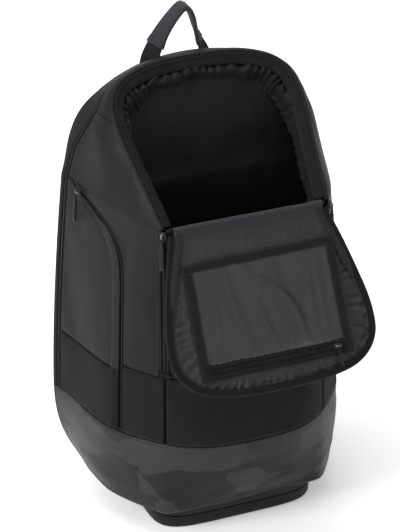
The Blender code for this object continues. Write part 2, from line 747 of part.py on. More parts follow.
def slider_sets(fin, group):
    down = Vector((0, 0, -1))
    for side, label in ((-1, "left"), (1, "right")):
        out = seam_normal(side)
        place = Vector((side * SEAM_X, FRONT_Y, FOLD_Z - 0.006)) + out * 0.0008
        slider(f"front_slider_{label}", place, down, out, fin, group)
        hinge = place + out * PULL_LIFT
        pull(f"front_pull_{label}", hinge, down, out, 0.042, PULL_WIDTH, fin, group)
        place, out, along = seat(side, POCKET_SLIDER, pocket_zip_s)
        place += out * 0.0030
        slider(f"side_slider_{label}", place, along, out, fin, group)
        hang = (down - out * down.dot(out)).normalized()
        hinge = place + out * (PULL_LIFT + 0.0002)
        pull(f"side_pull_{label}", hinge, hang, out, 0.036, PULL_WIDTH, fin, group)
    place, out, along = seat(1, MAIN_SLIDER, main_zip_s)
    place += out * 0.0018
    slider("main_slider", place, along, out, fin, group)
    pull("main_pull", place + out * PULL_LIFT, along, out, 0.040, PULL_WIDTH, fin, group)
    place = flap_point(0.074, POCKET_FAR - 0.0125, -0.0026)
    slider("pocket_slider", place, Vector((1, 0, 0)), -FLAP_OUT, fin, group)
    pull("pocket_pull", place - FLAP_OUT * 0.0036, FLAP_DOWN, -FLAP_OUT, 0.026, 0.0050, fin, group)


# ---------------------------------------------------------------- carrying parts

def handle_rows(path, first, last, lift, width):
    """Rows across the handle's loop: its ends lie flat on the back and its top lies level."""
    end = len(path) - 1
    rows = []
    for k in range(first, last + 1):
        along = (path[min(k + 1, end)] - path[max(k - 1, 0)]).normalized()
        flat = along.cross(Vector((0, 1, 0))).normalized()
        across = flat.lerp(Vector((0, 1, 0)), math.sin(math.pi * k / end) ** 0.8).normalized()
        middle = path[k] + along.cross(across).normalized() * lift
        rows.append([middle - across * width / 2, middle + across * width / 2])
    return rows


def handle(fin, group):
    path = smooth_path(HANDLE_PATH, 3)
    last = len(path) - 1
    rows = handle_rows(path, 0, last, 0.0, HANDLE_WIDTH - 0.003)
    cloth("handle_webbing", rows, HANDLE_WEB, fin["webbing"], group, (0, 0, 1), HANDLE_FOOT, 0.0)
    rows = handle_rows(path, SLEEVE_ENDS, last - SLEEVE_ENDS, 0.0016, HANDLE_WIDTH)
    cloth("handle_sleeve", rows, HANDLE_SLEEVE, fin["sleeve"], group, (0, 0, 1), HANDLE_FOOT, 1.0)


def strap_rows(path, width, turn_share):
    rows = []
    last = len(path) - 1
    for k, point in enumerate(path):
        along = (path[min(k + 1, last)] - path[max(k - 1, 0)]).normalized()
        across = along.cross(Vector((0, 1, 0))).normalized()
        wide = width(k / last) / 2
        rows.append([point + across * wide * c for c in turn_share])
    return rows


def straps(fin, group):
    def strap_width(t):
        return mix(STRAP_WIDTH, 0.040, t ** 3)

    lean = Matrix.Rotation(math.radians(-15), 3, "X")
    for side, label in ((-1, "left"), (1, "right")):
        mirror = [(x * side, y, z) for x, y, z in STRAP_PATH]
        rows = strap_rows(smooth_path(mirror, 2), strap_width, (-1, -0.5, 0, 0.5, 1))
        cloth(f"shoulder_strap_{label}", rows, STRAP_THICK, fin["mesh"], group, (0, 1, 0), offset=0.0)
        mirror = [(x * side, y, z) for x, y, z in WEB_PATH]
        rows = strap_rows(smooth_path(mirror, 2), lambda t: WEB_WIDTH, (-1, 1))
        cloth(f"strap_webbing_{label}", rows, WEB_THICK, fin["webbing"], group, (0, 1, 0), offset=0.0)
        lock = Vector((side * 0.0995, 0.1340, 0.2020))
        bm = bmesh.new()
        block(bm, lock, (0.034, 0.0050, 0.020), lean)
        soften(mesh_object(f"ladder_lock_{label}", bm, fin["buckle"], group), 0.0012)
        top = lock + Vector((0, 0.0050, -0.004))
        bm = bmesh.new()
        block(bm, top + Vector((0, 0.0, -TAIL_LENGTH / 2)), (WEB_WIDTH, 0.0020, TAIL_LENGTH))
        mesh_object(f"webbing_tail_{label}", bm, fin["webbing"], group, top, smooth=False)
    bm = bmesh.new()
    block(bm, (0, 0.1100, 0.5005), (0.160, 0.0180, 0.020))
    soften(mesh_object("strap_yoke", bm, fin["mesh"], group), 0.004)


def pad(name, low, high, finish, group):
    bm = bmesh.new()
    centre = (Vector(low) + Vector(high)) / 2
    block(bm, centre, Vector(high) - Vector(low))
    soften(mesh_object(name, bm, finish, group), 0.006, 3)


def pads(fin, group):
    top = PAD_BACK + 0.014
    pad("back_pad_left", (-0.128, PAD_BACK, 0.205), (-0.018, top, 0.475), fin["mesh"], group)
    pad("back_pad_right", (0.018, PAD_BACK, 0.205), (0.128, top, 0.475), fin["mesh"], group)
    low, high = (-0.095, PAD_BACK, 0.070), (0.095, PAD_BACK + 0.016, 0.185)
    pad("lumbar_pad", low, high, fin["mesh"], group)


def build():
    clear_scene()
    group = collection("racket_backpack")
    fin = finishes()
    base_tray(fin, group)
    bottom(fin, group)
    band(fin, group)
    side_panels(fin, group)
    gussets(fin, group)
    front_panels(fin, group)
    walls(fin, group)
    zips(fin, group)
    rim(fin, group)
    fold(fin, group)
    flap(fin, group)
    flap_pocket(fin, group)
    slider_sets(fin, group)
    handle(fin, group)
    straps(fin, group)
    pads(fin, group)


build()
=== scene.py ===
"""Racket backpack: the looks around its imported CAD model.

The bag stands on its base: the wearer's side is +Y, the racket compartment and its open flap
are -Y. Everything is in metres, in the CAD model's own frame.
"""

import json
import math

import bmesh
import bpy
import numpy as np
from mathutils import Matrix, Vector, noise

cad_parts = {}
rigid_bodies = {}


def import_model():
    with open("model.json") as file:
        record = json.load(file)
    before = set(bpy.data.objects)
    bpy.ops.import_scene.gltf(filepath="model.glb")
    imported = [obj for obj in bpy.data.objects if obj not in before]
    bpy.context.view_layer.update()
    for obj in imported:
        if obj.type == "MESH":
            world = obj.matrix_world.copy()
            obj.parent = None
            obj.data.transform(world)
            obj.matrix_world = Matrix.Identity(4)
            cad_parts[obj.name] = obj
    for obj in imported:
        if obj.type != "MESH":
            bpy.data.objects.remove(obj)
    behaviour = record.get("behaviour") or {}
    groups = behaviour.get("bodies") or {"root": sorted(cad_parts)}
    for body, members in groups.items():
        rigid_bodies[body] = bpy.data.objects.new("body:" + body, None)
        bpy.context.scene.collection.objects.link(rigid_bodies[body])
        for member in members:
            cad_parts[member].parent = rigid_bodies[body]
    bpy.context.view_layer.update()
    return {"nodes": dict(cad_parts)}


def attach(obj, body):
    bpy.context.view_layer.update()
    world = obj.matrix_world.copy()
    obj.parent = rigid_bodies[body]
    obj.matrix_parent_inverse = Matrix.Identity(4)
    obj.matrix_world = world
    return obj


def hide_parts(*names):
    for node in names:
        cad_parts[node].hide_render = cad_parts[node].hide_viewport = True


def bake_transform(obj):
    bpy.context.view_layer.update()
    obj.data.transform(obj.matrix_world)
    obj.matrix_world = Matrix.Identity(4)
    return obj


for leftover in list(bpy.data.objects):
    bpy.data.objects.remove(leftover, do_unlink=True)
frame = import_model()

# ---------------------------------------- the bag's outer surface, as in the CAD model
# A point of a side has a level u (0 at the band's top, 1 at the fold's height, 2 at the top of the arch)
# and a share s of the depth (0 at the back edge, 1 at the front seam).

BACK_Y = 0.099
FRONT_Y = -0.084
SEAM_X = 0.103
BAND_LOW_Z = 0.034
BAND_TOP_Z = 0.134
FOLD_Z = 0.418
TOP_Z = 0.550
MOUTH_Y = 0.078
BAND_LOW_HALF = 0.1522
BACK_HALF = 0.1778
TAPER = 0.018
FRONT_DOME = 0.032
SIDE_BULGE = 0.021
WELT_RISE = 0.0048
TOP_SEAM_Z = 0.5035
FOLD_BULGE = 0.009
TOP_BULGE = 0.0015
SPLIT_Z = 0.225
POCKET_DROP = 0.010
ARCH_STEPS = 10
# Seam lines on the sides, as (level, share of the depth).
MAIN_ZIP = [(1.00, 0.047), (1.18, 0.080), (1.33, 0.18), (1.46, 0.34), (1.60, 0.47), (2.0, 0.50)]
DIVIDER = [(-0.32, 0.49), (1.00, 0.33), (1.50, 0.50), (1.80, 0.54), (2.00, 0.66)]
POCKET_ZIP = [
    (0.00, 0.725), (0.60, 0.693), (0.74, 0.680), (0.81, 0.655), (0.86, 0.605), (0.90, 0.525),
    (0.935, 0.420), (0.965, 0.290), (0.990, 0.180), (1.020, 0.120),
]
POCKET_SLIDER = 0.980
MAIN_SLIDER = 1.26
# The arch's two edges, as (half-width, height) at even levels from 1 to 2.
BACK_ARCH = [
    (0.1598, 0.418), (0.1557, 0.434), (0.1515, 0.455), (0.1475, 0.470), (0.1405, 0.487), (0.1300, 0.502),
    (0.1160, 0.514), (0.1000, 0.525), (0.0800, 0.5355), (0.0480, 0.5460), (0.0, 0.5505),
]
MOUTH_ARCH = [
    (0.1030, 0.418), (0.1060, 0.435), (0.1090, 0.453), (0.1125, 0.470), (0.1155, 0.488), (0.1165, 0.505),
    (0.1140, 0.519), (0.1060, 0.530), (0.0890, 0.540), (0.0520, 0.548), (0.0, 0.550),
]
PANEL = 0.0035
LINING_THICK = 0.0006
SEAM_GAP = 0.0012
ZIP_HALF = 0.0042
FOLD_Y = FRONT_Y - 0.003
FLAP_TILT = math.radians(33)
FLAP_LENGTH = 0.200
FLAP_DOME = 0.022
# The flap's half-width, as (distance from the fold, half-width).
FLAP_OUTLINE = [
    (0.0060, 0.0945), (0.022, 0.099), (0.045, 0.1060), (0.080, 0.1150), (0.115, 0.1225), (0.143, 0.1240),
    (0.161, 0.1200), (0.176, 0.1090), (0.187, 0.0910), (0.193, 0.0660),
]
POCKET_HALF = 0.093
POCKET_NEAR = 0.041
POCKET_FAR = 0.176

UP = Vector((0, 0, 1))
FOLD = Vector((0, FOLD_Y, FOLD_Z))
FLAP_DOWN = Vector((0, -math.sin(FLAP_TILT), -math.cos(FLAP_TILT)))
FLAP_OUT = Vector((0, math.cos(FLAP_TILT), -math.sin(FLAP_TILT)))
BACK = Vector((0, 1, 0))
SIDES = ((-1, "left"), (1, "right"))


def mix(a, b, t):
    return a + (b - a) * t


def clamp(x):
    return min(max(x, 0.0), 1.0)


def ease(x):
    x = clamp(x)
    return x * x * (3 - 2 * x)


def catmull_rom(a, b, c, d, t):
    """The point at share t of the stretch from b to c."""
    square = (2 * a - 5 * b + 4 * c - d) * t * t
    cube = (3 * b - a - 3 * c + d) * t ** 3
    return 0.5 * (2 * b + (c - a) * t + square + cube)


def smooth_path(points, steps):
    given = [Vector(point) for point in points]
    given = [2 * given[0] - given[1], *given, 2 * given[-1] - given[-2]]
    path = []
    for a, b, c, d in zip(given, given[1:], given[2:], given[3:]):
        path += [catmull_rom(a, b, c, d, step / steps) for step in range(steps)]
    return [*path, given[-2]]


def arch_at(rows, x):
    """An arch's half-width and height at index x of its evenly spaced rows, which end on the middle plane."""
    last = len(rows) - 1
    x = min(max(x, 0.0), float(last))
    index = min(int(x), last - 1)

    def row(i):
        if i < 0:
            return 2 * Vector(rows[0]) - Vector(rows[1])
        if i > last:
            half, z = rows[last - 1]
            return Vector((-half, z))
        return Vector(rows[i])

    a, b, c, d = (row(index + k) for k in (-1, 0, 1, 2))
    return catmull_rom(a, b, c, d, x - index)


def along_stops(stops, u):
    """Smooth value at u of a list of stops at uneven places."""
    if u <= stops[0][0]:
        return stops[0][1]
    if u >= stops[-1][0]:
        return stops[-1][1]
    k = max(i for i, stop in enumerate(stops) if stop[0] <= u)
    (low, a), (high, b) = stops[k], stops[k + 1]
    before = stops[max(k - 1, 0)]
    after = stops[min(k + 2, len(stops) - 1)]
    wide = high - low
    leave = (b - before[1]) / (high - before[0]) * wide
    arrive = (after[1] - a) / (after[0] - low) * wide
    t = (u - low) / wide
    return (
        a * (2 * t ** 3 - 3 * t * t + 1) + leave * (t ** 3 - 2 * t * t + t)
        + b * (3 * t * t - 2 * t ** 3) + arrive * (t ** 3 - t * t)
    )


def height_of(u):
    """The height of a level below the arch."""
    return mix(BAND_TOP_Z, FOLD_Z, u)


def u_at(z):
    """The level of a height below the arch."""
    return (z - BAND_TOP_Z) / (FOLD_Z - BAND_TOP_Z)


def back_edge(u):
    """The bag's back edge on the right: it narrows upwards, and is tucked in below the band's top."""
    if u > 1:
        half, z = arch_at(BACK_ARCH, (u - 1) * ARCH_STEPS)
        return Vector((half, BACK_Y, z))
    z = height_of(u)
    if z < BAND_TOP_Z:
        share = (BAND_TOP_Z - z) / (BAND_TOP_Z - BAND_LOW_Z)
        return Vector((mix(BACK_HALF, BAND_LOW_HALF, share ** 2.4), BACK_Y - 0.005 * share, z))
    return Vector((BACK_HALF - TAPER * max(0.0, u) ** 1.6, BACK_Y, z))


def front_edge(u):
    """The front seam on the right, which runs on as the opening's edge over the arch."""
    if u > 1:
        half, z = arch_at(MOUTH_ARCH, (u - 1) * ARCH_STEPS)
        return Vector((half, mix(FRONT_Y, MOUTH_Y, (z - FOLD_Z) / (TOP_Z - FOLD_Z)), z))
    return Vector((SEAM_X, FRONT_Y, height_of(u)))


def arch_normal(u):
    """The way out of the arch, square to its back edge."""
    if u <= 1:
        return Vector((1, 0, 0))
    step = 0.02
    along = back_edge(min(u + step, 2.0)) - back_edge(u - step)
    return Vector((along.z, 0, -along.x)).normalized()


def skin(side, u, s):
    """A point of the outer surface on the left (side -1) or the right (side 1)."""
    point = back_edge(u).lerp(front_edge(u), s)
    over = max(0.0, u - 1)
    under = clamp(-u / -u_at(BAND_LOW_Z))
    bulge = mix(SIDE_BULGE, FOLD_BULGE, clamp(u) ** 0.8) + 0.003 * under
    if over:
        bulge = mix(FOLD_BULGE, TOP_BULGE, over)
    point += arch_normal(u) * bulge * math.sin(math.pi * clamp(s) ** mix(1.6, 1.2, under))
    point += arch_normal(u) * WELT_RISE * ease((u - 1.35) / 0.4) * clamp(s) ** 1.5
    return Vector((point.x * side, point.y, point.z))


def skin_normal(side, u, s):
    step = 0.01
    along_u = skin(side, min(u + step, 2.0), s) - skin(side, u - step, s)
    along_s = skin(side, u, min(s + step, 1.0)) - skin(side, u, max(s - step, 0.0))
    return (along_u.cross(along_s) * side).normalized()


def front_skin(x, z):
    """A point of the front, which swells most at the band's top."""
    if z > BAND_TOP_Z:
        swell = (1 - clamp((z - BAND_TOP_Z) / (FOLD_Z - BAND_TOP_Z)) ** 1.4) ** 1.25
    else:
        swell = clamp((z - BAND_LOW_Z) / (BAND_TOP_Z - BAND_LOW_Z)) ** 0.7
    round_off = 1 - min(1.0, abs(x) / SEAM_X) ** 3
    return Vector((x, FRONT_Y - FRONT_DOME * swell * round_off, z))


def depth(u):
    """The distance from the back edge to the front seam at a level."""
    return (back_edge(u) - front_edge(u)).length


def main_zip_s(u):
    return along_stops(MAIN_ZIP, u)


def pocket_zip_s(u):
    return along_stops(POCKET_ZIP, u)


def seam_line(u):
    return 1.0


def back_line(u):
    return 0.0


def offset_s(line, distance):
    """The same seam line, moved forward along the surface by a distance measured square to it."""
    step = 0.012

    def moved(u):
        slope = (line(u + step) - line(u - step)) * depth(u) / (2 * step * (FOLD_Z - BAND_TOP_Z))
        return line(u) + distance * math.hypot(1.0, slope) / depth(u)

    return moved


def flap_point(x, v, w):
    """A point of the flap: x across, v from the fold, w towards the bag's outside when it is shut."""
    return FOLD + Vector((x, 0, 0)) + FLAP_DOWN * v + FLAP_OUT * w


def flap_half(v):
    """The flap's half-width at a distance from the fold."""
    return along_stops(FLAP_OUTLINE, v)


def flap_dome(x, v):
    """How far the flap's shell swells out of its plane."""
    across = 1 - min(1.0, abs(x) / max(flap_half(v), 0.01)) ** 2.2
    return FLAP_DOME * max(across, 0.0) * math.sin(math.pi * clamp(v / FLAP_LENGTH) ** 1.5)


# ---------------------------------------- building meshes

def spread(low, high, count):
    """Even places from low to high, both included."""
    return [mix(low, high, k / count) for k in range(count + 1)]


EDGE_STEPS = (0.0, 0.0006, 0.0014, 0.0026, 0.0042)


def dense(low, high, count, scale):
    """Places from low to high that crowd at both ends, where scale is metres for one unit."""
    length = (high - low) * scale
    reach = min(1.0, 0.4 * length / EDGE_STEPS[-1])
    near = [low + step * reach / scale for step in EDGE_STEPS]
    far = [high - step * reach / scale for step in reversed(EDGE_STEPS)]
    return near[:-1] + spread(near[-1], far[0], count) + far[1:]


def as_grid(rows):
    return np.array([[tuple(point) for point in row] for row in rows], float)


def arc_lengths(grid, axis):
    """Distance along the grid's lines from their start, at each point."""
    steps = np.linalg.norm(np.diff(grid, axis=axis), axis=2)
    total = np.cumsum(steps, axis=axis)
    start = np.zeros_like(np.take(total, [0], axis=axis))
    return np.concatenate([start, total], axis=axis)


def grid_normals(grid, outward):
    normals = np.cross(np.gradient(grid, axis=0), np.gradient(grid, axis=1))
    normals /= np.maximum(np.linalg.norm(normals, axis=2, keepdims=True), 1e-12)
    middle = normals[grid.shape[0] // 2, grid.shape[1] // 2]
    return normals if middle @ np.array(outward) > 0 else -normals


def quads(rows, columns, ring=False, start=0):
    """Faces of a grid of vertices, whose columns close into a ring if asked."""
    faces = []
    for i in range(rows - 1):
        for j in range(columns if ring else columns - 1):
            n = (j + 1) % columns
            a, b = start + i * columns, start + (i + 1) * columns
            faces.append((a + j, a + n, b + n, b + j))
    return faces


def border_of(rows, columns):
    """Indices of a grid's outer points, in order round it."""
    border = list(range(columns))
    border += [i * columns + columns - 1 for i in range(1, rows)]
    border += [(rows - 1) * columns + j for j in range(columns - 2, -1, -1)]
    return border + [i * columns for i in range(rows - 2, 0, -1)]


def piece(name, points, faces, finish, body, nodes=(), uvs=None, flat_angle=42):
    """An object from points in the model's frame, which rides on a body and stands for CAD nodes."""
    mesh = bpy.data.meshes.new(name)
    mesh.from_pydata([tuple(point) for point in points], [], faces)
    if uvs is not None:
        layer = mesh.uv_layers.new(name="UVMap")
        spots = np.zeros(len(mesh.loops), np.int32)
        mesh.loops.foreach_get("vertex_index", spots)
        layer.data.foreach_set("uv", np.array(uvs, np.float32)[spots].ravel())
    mesh.validate()
    mesh.shade_smooth()
    mesh.set_sharp_from_angle(angle=math.radians(flat_angle))
    mesh.materials.append(finish)
    item = bpy.data.objects.new(name, mesh)
    bpy.context.scene.collection.objects.link(item)
    if isinstance(body, str):
        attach(item, body)
    if nodes:
        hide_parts(*nodes)
    return item


def shell(name, grid, normals, thickness, finish, body, nodes=()):
    """A closed shell: the grid is its outer face, and its inner face lies a thickness below."""
    rows, columns = grid.shape[:2]
    inner = grid - normals * thickness
    points = np.concatenate([grid.reshape(-1, 3), inner.reshape(-1, 3)])
    across = np.broadcast_to(arc_lengths(grid, 1).mean(axis=0), (rows, columns))
    along = arc_lengths(grid, 0)
    flat = np.stack([across - across.mean(), along], axis=2).reshape(-1, 2)
    count = rows * columns
    faces = quads(rows, columns)
    middle = faces[len(faces) // 2]
    a, b, c = (points[k] for k in middle[:3])
    turned = np.cross(b - a, c - b) @ normals[rows // 2, columns // 2] < 0
    if turned:
        faces = [face[::-1] for face in faces]
    under = [tuple(k + count for k in face[::-1]) for face in faces]
    border = border_of(rows, columns)
    walls = []
    for a, b in zip(border, border[1:] + border[:1]):
        wall = (a, b, b + count, a + count)
        walls.append(wall if turned else wall[::-1])
    return piece(name, points, faces + under + walls, finish, body, nodes, np.concatenate([flat, flat]))


def sheet(name, rows, out, thickness, finish, body, nodes=()):
    """A thin closed sheet from rows of points, whose thickness lies behind them."""
    grid = as_grid(rows)
    return shell(name, grid, grid_normals(grid, out), thickness, finish, body, nodes)


def edge_distance(grid, edges):
    """Each point's distance to the nearest seamed edge: first row, last row, first column, last column."""
    down, across = arc_lengths(grid, 0), arc_lengths(grid, 1)
    choices = [down, down[-1:] - down, across, across[:, -1:] - across]
    return np.minimum.reduce([choice for choice, on in zip(choices, edges) if on])


def ripple(point, size, stretch=(1, 1, 1), seed=0.0):
    """Smooth noise from -1 to 1 at a point, with lumps of a size in metres."""
    spot = Vector((point[0] / stretch[0], point[1] / stretch[1], point[2] / stretch[2])) / size
    return noise.noise(spot + Vector((seed, 0.37 * seed, 1.7 * seed)))


def relief(grid, function):
    """A height for each point of a grid."""
    return np.array([[function(point) for point in row] for row in grid])


SEAM_ROLL = 0.0036
CROWN_REACH = 0.03
FOLD_REACH = 0.012
ALL_EDGES = (1, 1, 1, 1)


def seamed(grid, normals, edges, height, pillow, drop=0.0016):
    """The grid with its seamed edges rolled in, a soft crown, and a relief."""
    distance = edge_distance(grid, edges)
    near = np.clip(distance / SEAM_ROLL, 0, 1)
    lift = -drop * (1 - np.sqrt(1 - (1 - near) ** 2))
    far = np.clip(distance / CROWN_REACH, 0, 1)
    lift = lift + pillow * far * (2 - far)
    lift = lift + height * np.clip(distance / FOLD_REACH, 0, 1)
    return grid + normals * lift[:, :, None]


def heading(path, k, closed=False):
    """A path's direction at its point k."""
    count = len(path)
    if closed:
        return (path[(k + 1) % count] - path[k - 1]).normalized()
    return (path[min(k + 1, count - 1)] - path[max(k - 1, 0)]).normalized()


def length_of(path):
    return sum((b - a).length for a, b in zip(path, path[1:]))


def frames_along(path, normals, closed=False):
    """At each point of a path: the point, its direction, the way across, and the way out."""
    found = []
    for k, (point, normal) in enumerate(zip(path, normals)):
        along = heading(path, k, closed)
        across = along.cross(normal).normalized()
        found.append((point, along, across, across.cross(along).normalized()))
    return found


def swept(frames, section_at):
    """Points of the sections at a row of frames, and the distance travelled at each frame."""
    points, distances = [], []
    travelled = 0.0
    for k, (point, along, across, out) in enumerate(frames):
        travelled += (point - frames[k - 1][0]).length if k else 0.0
        distances.append(travelled)
        points += [point + across * a + out * h for a, h in section_at(k)]
    return points, distances


def ribbon(name, path, normals, section, finish, body, slot, nodes=(), closed=False):
    """A section of (across, out) points, in order round it, carried along a path."""
    count, rows = len(section), len(path)
    shares = np.cumsum([0.0] + [math.dist(a, b) for a, b in zip(section, section[1:])])
    points, distances = swept(frames_along(path, normals, closed), lambda k: section)
    uvs = [(share, travelled) for travelled in distances for share in shares]
    faces = []
    for i in range(rows if closed else rows - 1):
        low, high = i * count, (i + 1) % rows * count
        for j in range(count):
            n = (j + 1) % count
            faces.append((low + j, high + j, high + n, low + n))
    if not closed:
        faces.append(tuple(range(count)))
        faces.append(tuple((rows - 1) * count + j for j in reversed(range(count))))
    area = sum(a[0] * b[1] - b[0] * a[1] for a, b in zip(section, section[1:] + section[:1]))
    if area > 0:
        faces = [face[::-1] for face in faces]
    return piece(name, points, faces, finish, body, nodes, uvs)


def tape_section(width, thickness, lift=0.0, crown=0.0):
    """A flat tape with rounded edges, standing on lift, crowned in its middle."""
    half, edge = width / 2, min(thickness, width / 4) / 2
    top = []
    for a in np.linspace(-half + edge, half - edge, 7):
        top.append((a, lift + thickness + crown * (1 - (a / half) ** 2)))
    middle = lift + thickness / 2
    return [(-half, middle), *top, (half, middle), (half - edge, lift), (-half + edge, lift)]


def round_section(radius, lift=0.0, sides=10):
    """A round cord whose middle stands on lift."""
    turn = 2 * math.pi / sides
    return [(radius * math.cos(k * turn), lift + radius * math.sin(k * turn)) for k in range(sides)]


def squarish(half_x, half_y, power_x, power_y, count):
    """Points round an oval made squarer by raising its cosine and sine to powers under 1."""
    ring = []
    for turn in spread(0, 2 * math.pi, count)[:-1]:
        c, s = math.cos(turn), math.sin(turn)
        x = half_x * math.copysign(abs(c) ** power_x, c)
        ring.append((x, half_y * math.copysign(abs(s) ** power_y, s)))
    return ring


def hoop(centre, a, b, radius_a, radius_b, count):
    """Points round an oval on two axes."""
    turns = spread(0, 2 * math.pi, count)[:-1]
    return [centre + a * (radius_a * math.cos(turn)) + b * (radius_b * math.sin(turn)) for turn in turns]


def resample(path, step, normals=None):
    """A path at even steps, with its normals if it has them."""
    spans = [(b - a).length for a, b in zip(path, path[1:])]
    total = sum(spans)
    count = max(2, int(round(total / step)))
    points, outs = [], []
    k, passed = 0, 0.0
    for i in range(count + 1):
        want = total * i / count
        while k < len(spans) - 1 and passed + spans[k] < want:
            passed += spans[k]
            k += 1
        t = clamp((want - passed) / max(spans[k], 1e-9))
        points.append(path[k].lerp(path[k + 1], t))
        if normals:
            outs.append(normals[k].lerp(normals[k + 1], t).normalized())
    return (points, outs) if normals else points


BOX_FACES = [(0, 3, 2, 1), (4, 5, 6, 7), (0, 1, 5, 4), (1, 2, 6, 5), (2, 3, 7, 6), (3, 0, 4, 7)]


TOOTH_PITCH = 0.0021


def chain(name, path, normals, body, width=0.0034, height=0.0013, lift=0.0):
    """A zip's two rows of teeth, which meet in the middle of a path."""
    path, normals = resample(path, TOOTH_PITCH / 2, normals)
    points, faces = [], []
    for k, (point, along, across, out) in enumerate(frames_along(path, normals)[1:-1]):
        side = 1 if k % 2 else -1
        first = len(points)
        for h, shrink in ((lift, 1.0), (lift + height, 0.62)):
            for a, b in ((-0.10, -0.36), (0.50, -0.36), (0.50, 0.36), (-0.10, 0.36)):
                middle = 0.2
                a = (middle + (a - middle) * shrink) * side * width
                points.append(point + across * a + along * b * TOOTH_PITCH * shrink + out * h)
        order = BOX_FACES if side > 0 else [face[::-1] for face in BOX_FACES]
        faces += [tuple(first + j for j in face) for face in order]
    piece(name, points, faces, TEETH, body, flat_angle=30)


STITCH = 0.0026
STITCH_GAP = 0.0013
STITCH_THICK = 0.00042


def stitching(name, runs, body):
    """Rows of short thread stitches: each run is a path and its normals."""
    points, faces = [], []
    for path, normals in runs:
        path, normals = resample(path, (STITCH + STITCH_GAP) / 2, normals)
        frames = frames_along(path, normals)
        for k in range(0, len(frames) - 1, 2):
            point, along, across, out = frames[k]
            first = len(points)
            for t, size in ((-0.5, 0.35), (-0.3, 1.0), (0.3, 1.0), (0.5, 0.35)):
                centre, thick = point + along * t * STITCH, STITCH_THICK * size
                for a, h in ((-1, 0), (-0.6, 0.8), (0.6, 0.8), (1, 0)):
                    rise = h * thick - (1 - size) * STITCH_THICK
                    points.append(centre + across * a * thick + out * rise)
            faces += quads(4, 4, start=first)
            closing = [(0, 1, 2, 3), (15, 14, 13, 12)]
            closing += [(low + 3, low + 7, low + 4, low) for low in (0, 4, 8)]
            faces += [tuple(first + j for j in face) for face in closing]
    piece(name, points, faces, THREAD, body, flat_angle=60)


def joined(pieces_data):
    """Points and faces of several closed lumps, as one mesh."""
    points, faces = [], []
    for lump_points, lump_faces in pieces_data:
        first = len(points)
        points += list(lump_points)
        faces += [tuple(first + k for k in face) for face in lump_faces]
    return points, faces


def loft(sections):
    """Points and faces of a closed lump through rings of equal count."""
    count = len(sections[0])
    points = [Vector(point) for ring in sections for point in ring]
    faces = quads(len(sections), count, ring=True)
    faces.append(tuple(reversed(range(count))))
    faces.append(tuple((len(sections) - 1) * count + j for j in range(count)))
    return points, faces


def rounded_rectangle(half_x, half_y, radius, steps=4):
    """Points round a rectangle with round corners."""
    radius = min(radius, half_x, half_y)
    ring = []
    for k, (sx, sy) in enumerate(((1, 1), (-1, 1), (-1, -1), (1, -1))):
        for step in range(steps + 1):
            angle = math.pi / 2 * (k + step / steps)
            ring.append((
                sx * (half_x - radius) + radius * math.cos(angle),
                sy * (half_y - radius) + radius * math.sin(angle),
            ))
    return ring


def lump(place, axes, half_x, half_y, low, high, radius, bevel=0.0006):
    """A block with round corners and bevelled rims, on three axes: two across it and one up it."""
    across, along, out = axes
    rings = []
    for level, inset in ((low, bevel), (low + bevel, 0.0), (high - bevel, 0.0), (high, bevel)):
        ring = rounded_rectangle(half_x - inset, half_y - inset, max(radius - inset, 0.0001))
        rings.append([place + across * x + along * y + out * level for x, y in ring])
    return loft(rings)


def fixed(item):
    """Turns a piece's faces outwards."""
    bm = bmesh.new()
    bm.from_mesh(item.data)
    bmesh.ops.recalc_face_normals(bm, faces=bm.faces)
    bm.to_mesh(item.data)
    bm.free()
    return item


# ---------------------------------------- materials

def node(tree, kind, inputs=None, **settings):
    """A shader node, with its settings, and its inputs linked or set."""
    made = tree.nodes.new(kind)
    for key, value in settings.items():
        setattr(made, key, value)
    for key, value in (inputs or {}).items():
        if isinstance(value, bpy.types.NodeSocket):
            tree.links.new(value, made.inputs[key])
        else:
            made.inputs[key].default_value = value
    return made


def blank(name, roughness, metallic=0.0, sheen=0.0, coat=0.0, specular=0.5, alpha=1.0):
    """A material with a Principled shader: the material, its node tree and the shader."""
    finish = bpy.data.materials.new("look_" + name)
    finish.use_nodes = True
    shader = finish.node_tree.nodes["Principled BSDF"]
    shader.inputs["Roughness"].default_value = roughness
    shader.inputs["Metallic"].default_value = metallic
    shader.inputs["Sheen Weight"].default_value = sheen
    shader.inputs["Sheen Roughness"].default_value = 0.45
    shader.inputs["Coat Weight"].default_value = coat
    shader.inputs["Coat Roughness"].default_value = 0.35
    shader.inputs["Specular IOR Level"].default_value = specular
    shader.inputs["Alpha"].default_value = alpha
    return finish, finish.node_tree, shader


def place_of(tree, kind="Object", scale=(1, 1, 1)):
    """Object or UV coordinates, in metres, scaled."""
    coordinates = node(tree, "ShaderNodeTexCoord")
    return node(tree, "ShaderNodeMapping", {"Vector": coordinates.outputs[kind], "Scale": scale}).outputs[0]


def clouds(tree, place, scale, detail=2.0, roughness=0.5, distortion=0.0):
    """Soft noise, from 0 to 1."""
    inputs = {"Vector": place, "Scale": scale, "Detail": detail, "Roughness": roughness}
    return node(tree, "ShaderNodeTexNoise", {**inputs, "Distortion": distortion}).outputs["Fac"]


def bands(tree, place, pitch, direction):
    """Stripes that repeat at a pitch in metres."""
    inputs = {"Vector": place, "Scale": 2 * math.pi / (20 * pitch), "Distortion": 0.0, "Detail": 1.0}
    made = node(tree, "ShaderNodeTexWave", inputs, wave_type="BANDS", bands_direction=direction)
    return made.outputs["Fac"]


def calc(tree, operation, a, b=0.0):
    return node(tree, "ShaderNodeMath", {0: a, 1: b}, operation=operation).outputs[0]


def weighed(tree, first, share, second):
    """A share of one value, and the rest of another."""
    kept = calc(tree, "MULTIPLY", first, share)
    return calc(tree, "ADD", kept, calc(tree, "MULTIPLY", second, 1 - share))


